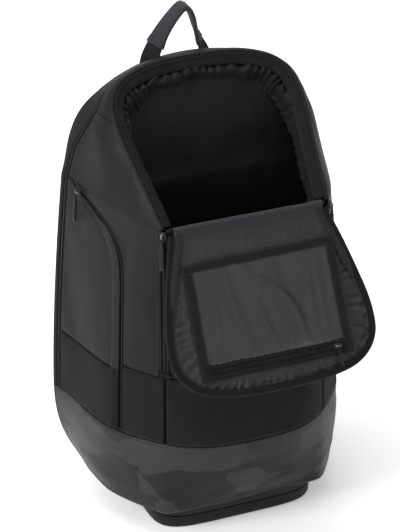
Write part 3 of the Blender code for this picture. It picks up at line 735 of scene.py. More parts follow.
def cells(tree, place, scale, randomness=1.0):
    """The distance to the nearest of scattered points."""
    inputs = {"Vector": place, "Scale": scale, "Randomness": randomness}
    return node(tree, "ShaderNodeTexVoronoi", inputs).outputs["Distance"]


def stretched(tree, value, low, high):
    """A number that runs from 0 to 1 as a value runs from low to high."""
    return node(tree, "ShaderNodeMapRange", {"Value": value, "From Min": low, "From Max": high}).outputs[0]


def between(tree, value, low, high):
    """A number that runs from low to high as a value runs from 0 to 1."""
    return node(tree, "ShaderNodeMapRange", {"Value": value, "To Min": low, "To Max": high}).outputs[0]


def blended(tree, value, first, second):
    """A colour between two, given as grey levels, triples or sockets."""
    made = node(tree, "ShaderNodeMix", {"Factor": value}, data_type="RGBA")
    for key, colour in (("A", first), ("B", second)):
        socket = next(s for s in made.inputs if s.name == key and s.type == "RGBA")
        if isinstance(colour, bpy.types.NodeSocket):
            tree.links.new(colour, socket)
        else:
            socket.default_value = (*colour, 1.0)
    return next(s for s in made.outputs if s.type == "RGBA")


def dress(tree, shader, colour=None, roughness=None, bumps=()):
    """Links colour, roughness, and a stack of (height, depth in metres, strength) bumps."""
    if colour is not None:
        tree.links.new(colour, shader.inputs["Base Color"])
    if roughness is not None:
        tree.links.new(roughness, shader.inputs["Roughness"])
    normal = None
    for height, deep, strength in bumps:
        inputs = {"Height": height, "Distance": deep, "Strength": strength}
        if normal is not None:
            inputs["Normal"] = normal
        normal = node(tree, "ShaderNodeBump", inputs).outputs[0]
    if normal is not None:
        tree.links.new(normal, shader.inputs["Normal"])


def weave(tree, place, pitch):
    """A plain weave of crossing threads, from 0 in its gaps to 1 on its threads."""
    across = bands(tree, place, pitch, "X")
    along = bands(tree, place, pitch, "Y")
    return calc(tree, "MAXIMUM", across, along)


def coated_fabric():
    """Smooth coated fabric: a satin skin with a fine leather grain and faint mottling."""
    finish, tree, shader = blank("coated_fabric", 0.5, coat=0.01, specular=0.09)
    place = place_of(tree)
    grain = cells(tree, place, 900.0)
    mottle = clouds(tree, place, 26.0, 3.0)
    tone = weighed(tree, mottle, 0.35, clouds(tree, place, 7.0, 1.0))
    colour = blended(tree, tone, (0.0084, 0.0084, 0.0087), (0.0140, 0.0140, 0.0143))
    rough = between(tree, weighed(tree, mottle, 0.6, grain), 0.40, 0.58)
    puckers = clouds(tree, place, 180.0, 3.0)
    dress(tree, shader, colour, rough, [(grain, 0.0002, 0.35), (puckers, 0.0003, 0.12)])
    return finish


def matte_fabric():
    """Matte polyester: a visible plain weave of slightly uneven threads."""
    finish, tree, shader = blank("matte_fabric", 0.85, sheen=0.04, specular=0.10)
    place = place_of(tree)
    threads = weave(tree, place_of(tree, "UV"), 0.0011)
    slub = clouds(tree, place_of(tree, "UV", (500, 60, 1)), 1.0, 2.0)
    tone = calc(tree, "MULTIPLY", threads, between(tree, slub, 0.6, 1.1))
    colour = blended(tree, tone, (0.0053, 0.0053, 0.0055), (0.0127, 0.0127, 0.0130))
    rough = between(tree, clouds(tree, place, 40.0), 0.74, 0.92)
    puckers = clouds(tree, place, 60.0, 2.0)
    dress(tree, shader, colour, rough, [(threads, 0.0004, 0.55), (puckers, 0.0008, 0.15)])
    return finish


def band_satin():
    """Satin with large tonal patches, in three greys that are close to each other."""
    finish, tree, shader = blank("band_satin", 0.45, coat=0.02, specular=0.22)
    place = place_of(tree)
    wander = node(tree, "ShaderNodeTexNoise", {"Vector": place, "Scale": 9.0, "Detail": 1.0}).outputs["Color"]
    shift = node(tree, "ShaderNodeVectorMath", {0: wander, 1: (0.05, 0.05, 0.05)}, operation="MULTIPLY")
    spot = node(tree, "ShaderNodeVectorMath", {0: place, 1: shift.outputs[0]}, operation="ADD").outputs[0]
    turned = node(tree, "ShaderNodeMapping", {
        "Vector": spot, "Rotation": (0.2, 0.5, 0.6), "Scale": (1, 1, 1.5),
    }).outputs[0]
    patches = node(tree, "ShaderNodeTexVoronoi", {"Vector": turned, "Scale": 15.0}, distance="CHEBYCHEV")
    level = node(tree, "ShaderNodeSeparateColor", {"Color": patches.outputs["Color"]}).outputs[0]
    ramp = node(tree, "ShaderNodeValToRGB", {"Fac": level})
    ramp.color_ramp.interpolation = "CONSTANT"
    tones = ((0.0, 0.0058), (0.38, 0.0125), (0.66, 0.0270))
    while len(ramp.color_ramp.elements) < len(tones):
        ramp.color_ramp.elements.new(0.5)
    for element, (stop, grey) in zip(ramp.color_ramp.elements, tones):
        element.position = stop
        element.color = (grey, grey, grey * 1.04, 1.0)
    streaks = clouds(tree, place_of(tree, "UV", (30, 900, 1)), 1.0, 2.0)
    colour = blended(tree, between(tree, streaks, 0.0, 0.35), ramp.outputs[0], (0.0060, 0.0060, 0.0065))
    rough = between(tree, streaks, 0.36, 0.56)
    threads = weave(tree, place_of(tree, "UV"), 0.0007)
    puckers = clouds(tree, place, 120.0, 3.0)
    dress(tree, shader, colour, rough, [(threads, 0.0002, 0.3), (puckers, 0.0004, 0.15)])
    return finish


def lining_cloth(name, dark, light, pitch, sheen, roughness=0.5, wrinkle=75.0, deep=0.0020):
    """A light lining fabric with a fine weave, a soft sheen and small creases, with painted shade: the
    creases' hollows are darker in its colour.
    """
    finish, tree, shader = blank(name, roughness, sheen=sheen, specular=0.18)
    place = place_of(tree)
    threads = weave(tree, place_of(tree, "UV"), pitch)
    creases = clouds(tree, place, wrinkle, 4.0, 0.6, 0.6)
    # painted shade: where the creases sink, the colour goes towards the dark grey
    tone = weighed(tree, threads, 0.4, creases)
    colour = blended(tree, tone, dark, light)
    rough = between(tree, creases, roughness - 0.08, roughness + 0.12)
    dress(tree, shader, colour, rough, [(threads, 0.0002, 0.25), (creases, deep, 0.45)])
    return finish


def pocket_film():
    """Fine see-through mesh with a faint streaky gloss; the same streaks are painted into its colour as light
    streaks (painted highlight), and broad patches paint light and shade across it.
    """
    finish, tree, shader = blank("pocket_film", 0.34, sheen=0.04, specular=0.70, alpha=0.86)
    place = place_of(tree)
    threads = weave(tree, place_of(tree, "UV"), 0.0009)
    # streaks: painted highlight, light streaks along the film's folds in its colour, and also its real
    # changes of gloss
    streaks = clouds(tree, place_of(tree, "UV", (38, 11, 1)), 1.0, 3.0, 0.6)
    tone = weighed(tree, threads, 0.35, streaks)
    # painted light and shade in broad patches, from a darker greenish grey to a lighter purplish grey
    painted_light_and_shade_patch = stretched(tree, clouds(tree, place, 17.0, 2.0), 0.40, 0.60)
    dark = blended(tree, painted_light_and_shade_patch, (0.0072, 0.0072, 0.0064), (0.0088, 0.0083, 0.0108))
    light = blended(tree, painted_light_and_shade_patch, (0.0145, 0.0145, 0.0130), (0.0225, 0.0212, 0.0260))
    colour = blended(tree, tone, dark, light)
    rough = between(tree, streaks, 0.26, 0.46)
    puckers = clouds(tree, place, 55.0, 3.0)
    dress(tree, shader, colour, rough, [(threads, 0.0002, 0.25), (puckers, 0.0025, 0.35)])
    return finish


def webbing_like(name, dark, light, rib, roughness):
    """Woven tape: ribs across it, fine threads along it."""
    finish, tree, shader = blank(name, roughness, sheen=0.04, specular=0.14)
    flat = place_of(tree, "UV")
    ribs = bands(tree, flat, rib, "Y")
    threads = bands(tree, flat, rib * 0.62, "X")
    height = calc(tree, "MAXIMUM", ribs, threads)
    fleck = clouds(tree, place_of(tree, "UV", (700, 175, 1)), 1.0, 2.0)
    tone = calc(tree, "MULTIPLY", height, between(tree, fleck, 0.45, 1.15))
    colour = blended(tree, tone, dark, light)
    rough = between(tree, fleck, roughness - 0.1, roughness + 0.08)
    dress(tree, shader, colour, rough, [(height, 0.0005, 0.6)])
    return finish


def handle_sleeve():
    """Heathered cloth: light and dark yarns mixed at random."""
    finish, tree, shader = blank("handle_sleeve", 0.85, sheen=0.12, specular=0.15)
    yarn = clouds(tree, place_of(tree, "UV", (1500, 260, 1)), 1.0, 3.0, 0.7)
    fleck = clouds(tree, place_of(tree, "UV", (240, 1300, 1)), 1.0, 3.0, 0.7)
    level = calc(tree, "MAXIMUM", yarn, fleck)
    sharp = stretched(tree, level, 0.42, 0.72)
    colour = blended(tree, sharp, (0.0094, 0.0094, 0.0115), (0.0446, 0.0432, 0.0518))
    threads = weave(tree, place_of(tree, "UV"), 0.0012)
    rough = between(tree, fleck, 0.75, 0.92)
    dress(tree, shader, colour, rough, [(threads, 0.0004, 0.5), (yarn, 0.0003, 0.35)])
    return finish


def spacer_mesh():
    """Open three-layer mesh: round holes in rows, whose insides are painted dark, partly for the darker layer
    under them and partly as painted shade.
    """
    finish, tree, shader = blank("spacer_mesh", 0.85, sheen=0.05, specular=0.15)
    wall = stretched(tree, cells(tree, place_of(tree, "UV"), 330.0, 0.18), 0.18, 0.42)
    fuzz = clouds(tree, place_of(tree), 800.0, 2.0)
    # painted shade: the holes, which the bump sinks, take the near-black grey
    tone = calc(tree, "MULTIPLY", wall, between(tree, fuzz, 0.7, 1.1))
    colour = blended(tree, tone, (0.0027, 0.0027, 0.0027), (0.0180, 0.0180, 0.0189))
    dress(tree, shader, colour, between(tree, fuzz, 0.75, 0.95), [(wall, 0.0008, 0.8)])
    return finish


def moulded(name, dark, light, roughness, grain=1300.0, deep=0.0002):
    """Moulded plastic or rubber with a spark-eroded grain."""
    finish, tree, shader = blank(name, roughness, specular=0.24)
    place = place_of(tree)
    pits = cells(tree, place, grain)
    wear = clouds(tree, place, 30.0, 4.0, 0.6)
    colour = blended(tree, wear, dark, light)
    rough = between(tree, weighed(tree, pits, 0.4, wear), roughness - 0.08, roughness + 0.12)
    dress(tree, shader, colour, rough, [(pits, deep, 0.5)])
    return finish


def slider_metal():
    """Dark nickel plating, brushed a little by use."""
    finish, tree, shader = blank("slider_metal", 0.38, metallic=1.0)
    place = place_of(tree)
    wear = clouds(tree, place, 260.0, 4.0, 0.65)
    colour = blended(tree, wear, (0.0700, 0.0700, 0.0740), (0.1900, 0.1900, 0.1940))
    scratches = clouds(tree, place, 1400.0, 2.0)
    dress(tree, shader, colour, between(tree, wear, 0.32, 0.50), [(scratches, 0.0001, 0.25)])
    return finish


def thread():
    """Twisted polyester thread."""
    finish, tree, shader = blank("thread", 0.6, sheen=0.2, specular=0.35)
    twist = bands(tree, place_of(tree), 0.0006, "DIAGONAL")
    colour = blended(tree, twist, (0.0084, 0.0084, 0.0090), (0.0240, 0.0240, 0.0252))
    dress(tree, shader, colour, None, [(twist, 0.0001, 0.4)])
    return finish


def plain_cloth(name, dark, light, pitch):
    """A weave that needs no flat coordinates, for plates that lie level."""
    finish, tree, shader = blank(name, 0.85, specular=0.25)
    place = place_of(tree)
    threads = weave(tree, place, pitch)
    tone = calc(tree, "MULTIPLY", threads, between(tree, clouds(tree, place, 300.0), 0.6, 1.1))
    rough = between(tree, clouds(tree, place, 50.0), 0.75, 0.92)
    dress(tree, shader, blended(tree, tone, dark, light), rough, [(threads, 0.0003, 0.4)])
    return finish


COATED = coated_fabric()
MATTE = matte_fabric()
BAND = band_satin()
# The lining finishes paint shade into their creases: each dark grey lies in the hollows, and the light grey
# on the ridges.
LINING = lining_cloth("lining_satin", (0.0120, 0.0118, 0.0145), (0.0250, 0.0240, 0.0285), 0.0008, 0.12)
GATHERED = lining_cloth(
    "lining_gathered", (0.0080, 0.0080, 0.0092), (0.0370, 0.0362, 0.0395), 0.0008, 0.12, 0.45, 110.0, 0.0060)
INNER = lining_cloth("inner_lining", (0.0015, 0.0015, 0.0015), (0.0053, 0.0050, 0.0050), 0.0009, 0.06, 0.60)
FILM = pocket_film()
WEBBING = webbing_like("webbing", (0.0032, 0.0032, 0.0034), (0.0132, 0.0132, 0.0140), 0.0016, 0.75)
TAPE = webbing_like("zip_tape", (0.0028, 0.0028, 0.0029), (0.0096, 0.0096, 0.0100), 0.0010, 0.65)
FRAME_TAPE = webbing_like("pocket_tape", (0.0033, 0.0033, 0.0033), (0.0116, 0.0116, 0.0110), 0.0012, 0.75)
SLEEVE = handle_sleeve()
EDGE_TAPE = webbing_like("edge_tape", (0.0090, 0.0090, 0.0092), (0.0260, 0.0260, 0.0265), 0.0011, 0.75)
MESH = spacer_mesh()
TRAY = moulded("tray_plastic", (0.0030, 0.0030, 0.0031), (0.0072, 0.0072, 0.0075), 0.52)
BUCKLE = moulded("buckle_plastic", (0.0060, 0.0060, 0.0062), (0.0130, 0.0130, 0.0135), 0.38, 2200.0, 0.0001)
TEETH = moulded("zip_teeth", (0.0050, 0.0050, 0.0050), (0.0160, 0.0160, 0.0165), 0.32, 3000.0, 0.0001)
PULL = moulded("pull_tab", (0.0040, 0.0040, 0.0040), (0.0110, 0.0110, 0.0112), 0.50, 1800.0, 0.0001)
METAL = slider_metal()
LACQUER = moulded("slider_lacquer", (0.0080, 0.0080, 0.0082), (0.0180, 0.0180, 0.0185), 0.34, 2600.0, 0.0001)
THREAD = thread()
BOARD = plain_cloth("board", (0.004, 0.004, 0.004), (0.014, 0.014, 0.014), 0.0016)
UNDER = plain_cloth("bottom_fabric", (0.005, 0.005, 0.005), (0.018, 0.018, 0.018), 0.0014)


# ---------------------------------------- base and band

def base_tray():
    """A moulded dish in two tiers, with a groove between them and a rolled lip."""
    half_x, half_y, height = 0.105, 0.074, 0.0330
    square, count = 2 / 4.9, 144
    foot = [(0.034, 0.0008), (0.010, 0.0), (0.004, 0.0), (0.0012, 0.0012), (0.0, 0.004)]
    groove = [(-0.0008, 0.0158), (-0.0004, 0.0168), (0.0012, 0.0172)]
    groove += [(0.0012, 0.0180), (-0.0008, 0.0184), (-0.0016, 0.0194)]
    lip = [(-0.0026, 0.0300), (-0.0030, 0.0318), (-0.0026, height), (0.0, height), (0.0010, 0.0310)]
    inside = [(0.0030, 0.0060), (0.034, 0.0040)]
    rings = []
    for inset, z in foot + groove + lip + inside:
        ring = squarish(half_x - inset, half_y - inset, square, square, count)
        rings.append([(x, y, z) for x, y in ring])
    points, faces = loft(rings)
    faces = [face[::-1] for face in faces]
    piece("tray", points, faces, TRAY, "bag", ["base_tray"], flat_angle=35)


def smoothed_ring(points, spread_m, step, spans):
    """A polyline in equal spans, with its corners rounded off over about the given distance."""
    line = resample(points, step)
    count = max(1, int(round(spread_m / step)))
    weights = [math.exp(-0.5 * (2.0 * k / count) ** 2) for k in range(-count, count + 1)]
    soft = []
    last = len(line) - 1
    for i in range(len(line)):
        total, weight = Vector((0, 0, 0)), 0.0
        for k, w in zip(range(-count, count + 1), weights):
            reach = min(abs(k), i, last - i)
            j = i + (reach if k > 0 else -reach)
            total += line[j] * w
            weight += w
        soft.append(total / weight)
    return resample(soft, length_of(soft) / spans)


def plan(z, s, side_steps, front_steps):
    """The bag's plan at a height, from share s of the left side round the front to the right side."""
    u = u_at(z)
    ring = [skin(-1, u, mix(s, 1.0, t)) for t in spread(0.0, 1.0, side_steps)]
    ring += [front_skin(x, z) for x in spread(-SEAM_X, SEAM_X, front_steps)][1:-1]
    return ring + [skin(1, u, mix(s, 1.0, t)) for t in spread(1.0, 0.0, side_steps)]


def band():
    """One wide band of satin round the sides and the front, tucked under at its lower edge."""
    columns = 260
    heights = dense(BAND_LOW_Z + 0.004, BAND_TOP_Z - SEAM_GAP, 22, 1.0)
    rings = [smoothed_ring(plan(z, 0.0, 40, 44), 0.012, 0.0016, columns) for z in heights]
    lowest = rings[0]
    inward = []
    for k in range(len(lowest)):
        along = heading(lowest, k)
        inward.append(Vector((-along.y, along.x, 0)).normalized())
    tucks = [(0.0003, 0.0022), (0.0012, 0.0008), (0.0028, -0.0004), (0.0060, -0.0010), (0.0110, -0.0010)]
    tucked = []
    for inset, rise in tucks:
        row = [point + way * inset for point, way in zip(lowest, inward)]
        tucked.insert(0, [Vector((p.x, p.y, BAND_LOW_Z + 0.001 + rise)) for p in row])
    grid = as_grid(tucked + rings)
    normals = grid_normals(grid, (0, -1, 0))

    def folds(point):
        low = 1 - clamp((point[2] - BAND_LOW_Z) / 0.06)
        wide = ripple(point, 0.040, (1.3, 1.3, 0.45), 3.0) * 0.0016
        return wide + ripple(point, 0.022, (1.6, 1.6, 0.5), 8.0) * 0.0012 * low

    grid = seamed(grid, normals, (0, 1, 1, 1), relief(grid, folds), 0.0008, drop=0.0012)
    nodes = ["band_left", "band_right", "band_front"]
    item = shell("band", grid, normals, PANEL, BAND, "bag", nodes)


# ---------------------------------------- side, front and top panels

def skin_grid(places, s_from, s_to, count, least=0.002):
    """The surface between two seam lines, at places given as (side, level)."""
    rows = []
    for side, u in places:
        wide = max(least, (s_to(u) - s_from(u)) * depth(u))
        shares = dense(0.0, 1.0, count, wide)
        rows.append([skin(side, u, mix(s_from(u), s_to(u), share)) for share in shares])
    return as_grid(rows)


def soft_folds(size, height, stretch, seed):
    """Soft folds of cloth, which die out at the height where the corner panels meet the top gusset."""
    def fold(point):
        calm = ease(abs(point[2] - TOP_SEAM_Z) / 0.016)
        fine = ripple(point, size / 2.3, stretch, seed + 5)
        return calm * height * (ripple(point, size, stretch, seed) + 0.35 * fine)
    return fold


def cover(name, grid, out, finish, nodes, edges, folds, pillow=0.0012):
    """A panel of the bag, rolled in at its seamed edges and softly folded."""
    normals = grid_normals(grid, out)
    grid = seamed(grid, normals, edges, relief(grid, folds), pillow)
    item = shell(name, grid, normals, PANEL, finish, "bag", nodes)


def side_panels():
    """On each side: the pocket and the corner, each coated above and matte below."""
    split, gap = u_at(SPLIT_Z), SEAM_GAP / (FOLD_Z - BAND_TOP_Z)
    pocket_split = u_at(SPLIT_Z - POCKET_DROP)
    tall = FOLD_Z - BAND_TOP_Z
    behind = offset_s(main_zip_s, ZIP_HALF)
    before_pocket = offset_s(pocket_zip_s, -ZIP_HALF)
    after_pocket = offset_s(pocket_zip_s, ZIP_HALF)
    zip_side = offset_s(seam_line, -ZIP_HALF)
    seam_side = offset_s(seam_line, -SEAM_GAP)

    def corner_start(u):
        return max(after_pocket(u), behind(u)) if u < POCKET_ZIP[-1][0] else behind(u)

    def pocket_end(u):
        return max(before_pocket(u), behind(u) + 0.005)

    def corner_end(u):
        if u < 0.985:
            return zip_side(u)
        return mix(zip_side(u), 1.0, ease((u - 0.985) / 0.03))

    matte, coated = (MATTE, "matte_fabric"), (COATED, "coated_fabric")
    open_top = (1, 0, 1, 1)
    pocket_low, pocket_high = dense(0.0, pocket_split - gap, 14, tall), dense(pocket_split, 1.012, 52, tall)
    corner_low, corner_high = dense(0.0, split - gap, 14, tall), dense(split - 0.6 * gap, 1.503, 84, tall)
    panels = (
        ("pocket_lower", pocket_low, behind, before_pocket, 26, matte, ALL_EDGES),
        ("pocket_upper", pocket_high, behind, pocket_end, 26, coated, ALL_EDGES),
        ("corner_lower", corner_low, after_pocket, seam_side, 14, matte, ALL_EDGES),
        ("corner_upper", corner_high, corner_start, corner_end, 30, coated, open_top),
    )
    for side, label in SIDES:
        folds = soft_folds(0.058, 0.0025, (1, 0.9, 1.9), 11.0 + side)
        for panel, levels, start, end, count, (finish, slot), edges in panels:
            grid = skin_grid([(side, u) for u in levels], start, end, count)
            node_name = f"{panel}_{label}"
            cover("side_" + node_name, grid, (side, 0, 0), finish, [node_name], edges, folds)


def arch_levels(start, steps):
    """Levels from the left side over the top to the right side, with the side that each is on."""
    left = [(-1, u) for u in spread(start, 2.0, steps)]
    right = [(1, u) for u in spread(2.0, start, steps)]
    return left + right[1:]


def gussets():
    """The strips before and behind the main zip, over the arch."""
    behind = offset_s(main_zip_s, -ZIP_HALF * 0.9)
    ahead = offset_s(main_zip_s, ZIP_HALF * 0.9)
    folds = soft_folds(0.045, 0.0012, (1.4, 0.8, 1.4), 21.0)
    grid = skin_grid(arch_levels(1.506, 44), ahead, seam_line, 10, 0.004)
    cover("top_gusset", grid, (0, 0, 1), COATED, ["gusset_top"], (0, 0, 1, 1), folds)
    grid = skin_grid(arch_levels(0.0, 110), back_line, behind, 6, 0.003)
    cover("back_gusset", grid, (0, 0, 1), COATED, ["gusset_back"], ALL_EDGES, folds, 0.0004)


def front_panels():
    """The front panel below the opening: coated above, matte below."""
    folds = soft_folds(0.055, 0.0018, (1.2, 1, 0.9), 31.0)
    for part, reach, low, high, steps, finish, slot in (
        ("upper", SEAM_X - ZIP_HALF, SPLIT_Z, FOLD_Z - 0.0012, 34, COATED, "coated_fabric"),
        ("lower", SEAM_X - SEAM_GAP, BAND_TOP_Z, SPLIT_Z - SEAM_GAP, 18, MATTE, "matte_fabric"),
    ):
        columns = dense(-reach, reach, 40, 1.0)
        grid = as_grid([[front_skin(x, z) for x in columns] for z in dense(low, high, steps, 1.0)])
        cover(f"front_panel_{part}", grid, -BACK, finish, [f"front_{part}"], ALL_EDGES, folds, 0.0006)


# ---------------------------------------- zips, flanges and seam details

def seam_normal(side):
    """The way out of a front corner."""
    return Vector((side * 0.75, -0.66, 0)).normalized()


def along_seam(places, line, lift=0.0):
    """Points of a seam line and their normals, at places given as (side, level)."""
    points, normals = [], []
    for side, u in places:
        normal = skin_normal(side, min(u, 1.96), line(u))
        points.append(skin(side, u, line(u)) + normal * lift)
        normals.append(normal)
    return points, normals


def on_side(side, levels, line, lift=0.0):
    return along_seam([(side, u) for u in levels], line, lift)


def main_zip():
    """The zip of the main compartment, up one side, over the top and down the other."""
    points, normals = along_seam(arch_levels(0.0, 120), main_zip_s)
    section = tape_section(0.0094, 0.0011, -0.0028)
    ribbon("main_zip_tape", points, normals, section, TAPE, "bag", "zip_tape", ["main_zip"])
    chain("main_zip_teeth", points, normals, "bag", lift=-0.0018)


def pocket_zips():
    """The side pockets' zips, each with a raised flange of coated fabric behind it."""
    levels = spread(0.0, 0.74, 24) + spread(0.74, 1.018, 52)[1:]
    flange_line = offset_s(pocket_zip_s, -ZIP_HALF - 0.0042)
    change = u_at(SPLIT_Z - POCKET_DROP) + 0.005
    section = tape_section(0.0100, 0.0011, -0.0030)
    bead = [(-0.0012, -0.0020), (-0.0013, 0.0002), (-0.0006, 0.0011)]
    bead += [(-a, h) for a, h in reversed(bead)]
    for side, label in SIDES:
        points, normals = on_side(side, levels, pocket_zip_s)
        nodes = [f"pocket_zip_{label}"]
        ribbon(f"pocket_zip_tape_{label}", points, normals, section, TAPE, "bag", "zip_tape", nodes)
        chain(f"pocket_zip_teeth_{label}", points, normals, "bag", lift=-0.0020)
        for part, part_levels, finish, slot in (
            ("lower", spread(0.004, change, 28), MATTE, "matte_fabric"),
            ("upper", spread(change, 0.955, 66), COATED, "coated_fabric"),
        ):
            points, normals = on_side(side, part_levels, flange_line)
            rings = []
            for u, (point, along, across, out) in zip(part_levels, frames_along(points, normals)):
                forward = across if across.y < 0 else -across
                rings.append([point + forward * a + out * h for a, h in flange_section(u)])
            points, faces = loft(rings)
            fixed(piece(f"flange_{part}_{label}", points, faces, finish, "bag"))
        points, normals = on_side(side, spread(0.004, 1.010, 96), offset_s(pocket_zip_s, ZIP_HALF + 0.0006))
        ribbon(f"pocket_zip_edge_{label}", points, normals, bead, TAPE, "bag", "zip_tape")


def flange_section(u):
    """The flange's section: it covers the zip's teeth, except at the top, where the slider runs."""
    over = 0.0032 * (1 - ease((u - 0.88) / 0.03))
    return [(-0.0052, -0.0022), (-0.0050, 0.0001), (-0.0040, 0.0008), (0.0, 0.0011), (0.0040, 0.0012),
            (0.0054 + over, 0.0010), (0.0062 + over, 0.0002), (0.0056 + over, -0.0010)]


def front_zips():
    """The closed part of the compartment's zip, on the front seams, with its end stops."""
    for side, label in SIDES:
        out = seam_normal(side)
        points = [Vector((side * SEAM_X, FRONT_Y, z)) for z in spread(0.229, FOLD_Z - 0.006, 60)]
        normals = [out] * len(points)
        section, nodes = tape_section(0.0102, 0.0011, -0.0026), [f"front_zip_{label}"]
        ribbon(f"front_zip_tape_{label}", points, normals, section, TAPE, "bag", "zip_tape", nodes)
        chain(f"front_zip_teeth_{label}", points, normals, "bag", lift=-0.0016)
        for k, way in enumerate((-1, 1)):
            across = Vector((out.y, -out.x, 0)) * way
            edge = [point + across * 0.0046 for point in points]
            bead = round_section(0.0011, -0.0006, 8)
            ribbon(f"front_zip_edge_{label}_{k}", edge, normals, bead, COATED, "bag", "coated_fabric")
        place = Vector((side * SEAM_X, FRONT_Y, 0.2290))
        axes = (UP.cross(out).normalized(), UP, out)
        points, faces = lump(place, axes, 0.0085, 0.0032, -0.0020, 0.0014, 0.0010)
        piece(f"zip_end_tab_{label}", points, faces, WEBBING, "bag")


def seam_threads():
    """Stitches beside the seams that are topstitched."""
    runs = []
    for side in (-1, 1):
        for z, s_from, s_to in ((BAND_TOP_Z + 0.0036, 0.06, 0.985), (BAND_TOP_Z - 0.0048, 0.01, 0.97)):
            u = u_at(z)
            levels = spread(s_from, s_to, 60)
            points = [skin(side, u, s) + skin_normal(side, u, s) * 0.0007 for s in levels]
            runs.append((points, [skin_normal(side, u, s) for s in levels]))
        start = offset_s(main_zip_s, ZIP_HALF + 0.0036)
        runs.append(on_side(side, spread(1.03, 1.50, 60), start, 0.0008))
        runs.append(on_side(side, spread(1.02, 1.50, 60), offset_s(seam_line, -0.0042), 0.0008))
        runs.append(on_side(side, spread(0.33, 0.99, 60), offset_s(seam_line, -ZIP_HALF - 0.0034), 0.0008))
    for z in (BAND_TOP_Z + 0.0036, SPLIT_Z + 0.0034):
        points = [front_skin(x, z) - BACK * 0.0008 for x in spread(-0.098, 0.098, 60)]
        runs.append((points, [-BACK] * len(points)))
    stitching("panel_stitches", runs, "bag")


# ---------------------------------------- the compartment's mouth and lining

MOUTH_OUT = Vector((0, -(TOP_Z - FOLD_Z), MOUTH_Y - FRONT_Y)).normalized()


def rim_frames(start, steps):
    """Points round the opening's edge, with the way into the opening at each."""
    points = [skin(side, u, 1.0) for side, u in arch_levels(start, steps)]
    inward = [MOUTH_OUT.cross(heading(points, k)).normalized() * -1 for k in range(len(points))]
    return points, inward


def rim():
    """The opening's edge: a piped seam, a wide zip tape inside it, and that tape's row of teeth."""
    points, inward = rim_frames(1.02, 110)
    normals = [MOUTH_OUT] * len(points)

    def beside(into, deep):
        return [point + way * into - MOUTH_OUT * deep for point, way in zip(points, inward)]

    edge, bead = beside(0.0006, 0.0017), round_section(0.0017, 0, 10)
    ribbon("rim_piping", edge, normals, bead, COATED, "bag", "coated_fabric", ["opening_rim"])
    tape = []
    for k, (point, way) in enumerate(zip(points, inward)):
        wave = noise.noise(Vector((k * 0.16, 0, 4))) * 0.0010 + noise.noise(Vector((k * 0.45, 3, 4))) * 0.0006
        tape.append(point + way * (0.0075 + wave) - MOUTH_OUT * (0.0044 - 0.6 * wave))
    tilt = [(MOUTH_OUT + way * 0.45).normalized() for way in inward]
    ribbon("rim_tape", tape, tilt, tape_section(0.0130, 0.0012, 0.0, 0.0004), TAPE, "bag", "zip_tape")
    chain("rim_teeth", beside(0.0136, 0.0078), tilt, "bag", width=0.0030, lift=0.0002)
    ribbon("rim_fold", beside(0.0050, 0.0020), tilt, round_section(0.0014, 0, 8), TAPE, "bag", "zip_tape")


def mouth_gathers():
    """The lining where it hangs from the opening's zip tape, bunched in loose folds."""
    points, inward = rim_frames(1.01, 220)
    levels = [u for side, u in arch_levels(1.01, 220)]
    rows = []
    travelled = 0.0
    for k, (point, way) in enumerate(zip(points, inward)):
        travelled += (point - points[k - 1]).length if k else 0.0
        wide = 0.0030 + 0.0020 * ease((levels[k] - 1.0) / 0.2)
        wide += 0.0165 * ease((levels[k] - 1.30) / 0.40)
        wide *= 1 + 0.35 * noise.noise(Vector((travelled * 32, 0, 6)))
        row = []
        for t in spread(0, 1, 22):
            turns = travelled / 0.0135 + 1.1 * noise.noise(Vector((travelled * 26, t * 0.8, 2)))
            pleat = 0.0022 * math.sin(2 * math.pi * turns) * ease(t / 0.25)
            sag = 0.0030 * noise.noise(Vector((travelled * 45, t * 2.2, 8))) * ease(t / 0.2)
            roll = 0.0040 * math.sin(math.pi * min(1.0, t * 1.25)) - 0.016 * ease((t - 0.55) / 0.45)
            row.append(point + way * (0.0105 + wide * t) - MOUTH_OUT * (0.0125 - roll + pleat + sag))
        rows.append(row)
    item = sheet("mouth_gathers", rows, MOUTH_OUT, LINING_THICK, INNER, "bag")


def divider_s(u):
    """Where the compartment's back wall meets the side, as a share of the depth."""
    return along_stops(DIVIDER, u)


def mouth_lining():
    """Lining behind the gusset, from the rim to the divider, gathered along the rim."""
    rows = []
    columns = spread(0.0, 1.0, 26)
    travelled, before = 0.0, None
    for side, u in arch_levels(0.99, 220):
        here = skin(side, u, 0.97)
        travelled += (here - before).length if before else 0.0
        before = here
        row = []
        start = 0.985 - min(0.0030 / depth(u), 0.06)
        end = divider_s(u) + min(0.006 / depth(u), 0.06)
        for t in columns:
            s = mix(start, max(end, 0.02), t)
            point = skin(side, u, s)
            normal = skin_normal(side, min(u, 1.96), s)
            turns = travelled / 0.0115 + 0.8 * ripple((travelled, 0, t * 0.05), 0.03, seed=4)
            wave = 0.5 + 0.5 * math.sin(turns * 2 * math.pi)
            swag = 0.5 + 0.5 * ripple((travelled, t * 0.06, 0), 0.028, seed=9)
            hang = math.sin(math.pi * clamp(t) ** 0.55) ** 0.8
            deep = 0.0058 + hang * (0.0052 * wave + 0.0085 * swag) + 0.0012 * clamp(t / 0.1)
            row.append(point - normal * deep)
        rows.append(row)
    item = sheet("mouth_lining", rows, -UP, LINING_THICK, INNER, "bag")


def well_lining():
    """Lining of the compartment's sides and front below the mouth."""
    rows = []
    for z in spread(0.0445, FOLD_Z - 0.006, 60):
        u = u_at(z)
        s = divider_s(u) + 0.007 / depth(u)
        rows.append(smoothed_ring(plan(z, s, 20, 34), 0.016, 0.003, 90))
    grid = as_grid(rows)
    normals = grid_normals(grid, BACK)

    def folds(point):
        broad = 0.0016 * ripple(point, 0.030, (1, 1, 2.0), 41)
        return 0.0062 + broad + 0.0012 * ripple(point, 0.012, (1, 1, 3.0), 43)

    grid = grid + normals * relief(grid, folds)[:, :, None]
    item = shell("well_lining", grid, normals, LINING_THICK, INNER, "bag")


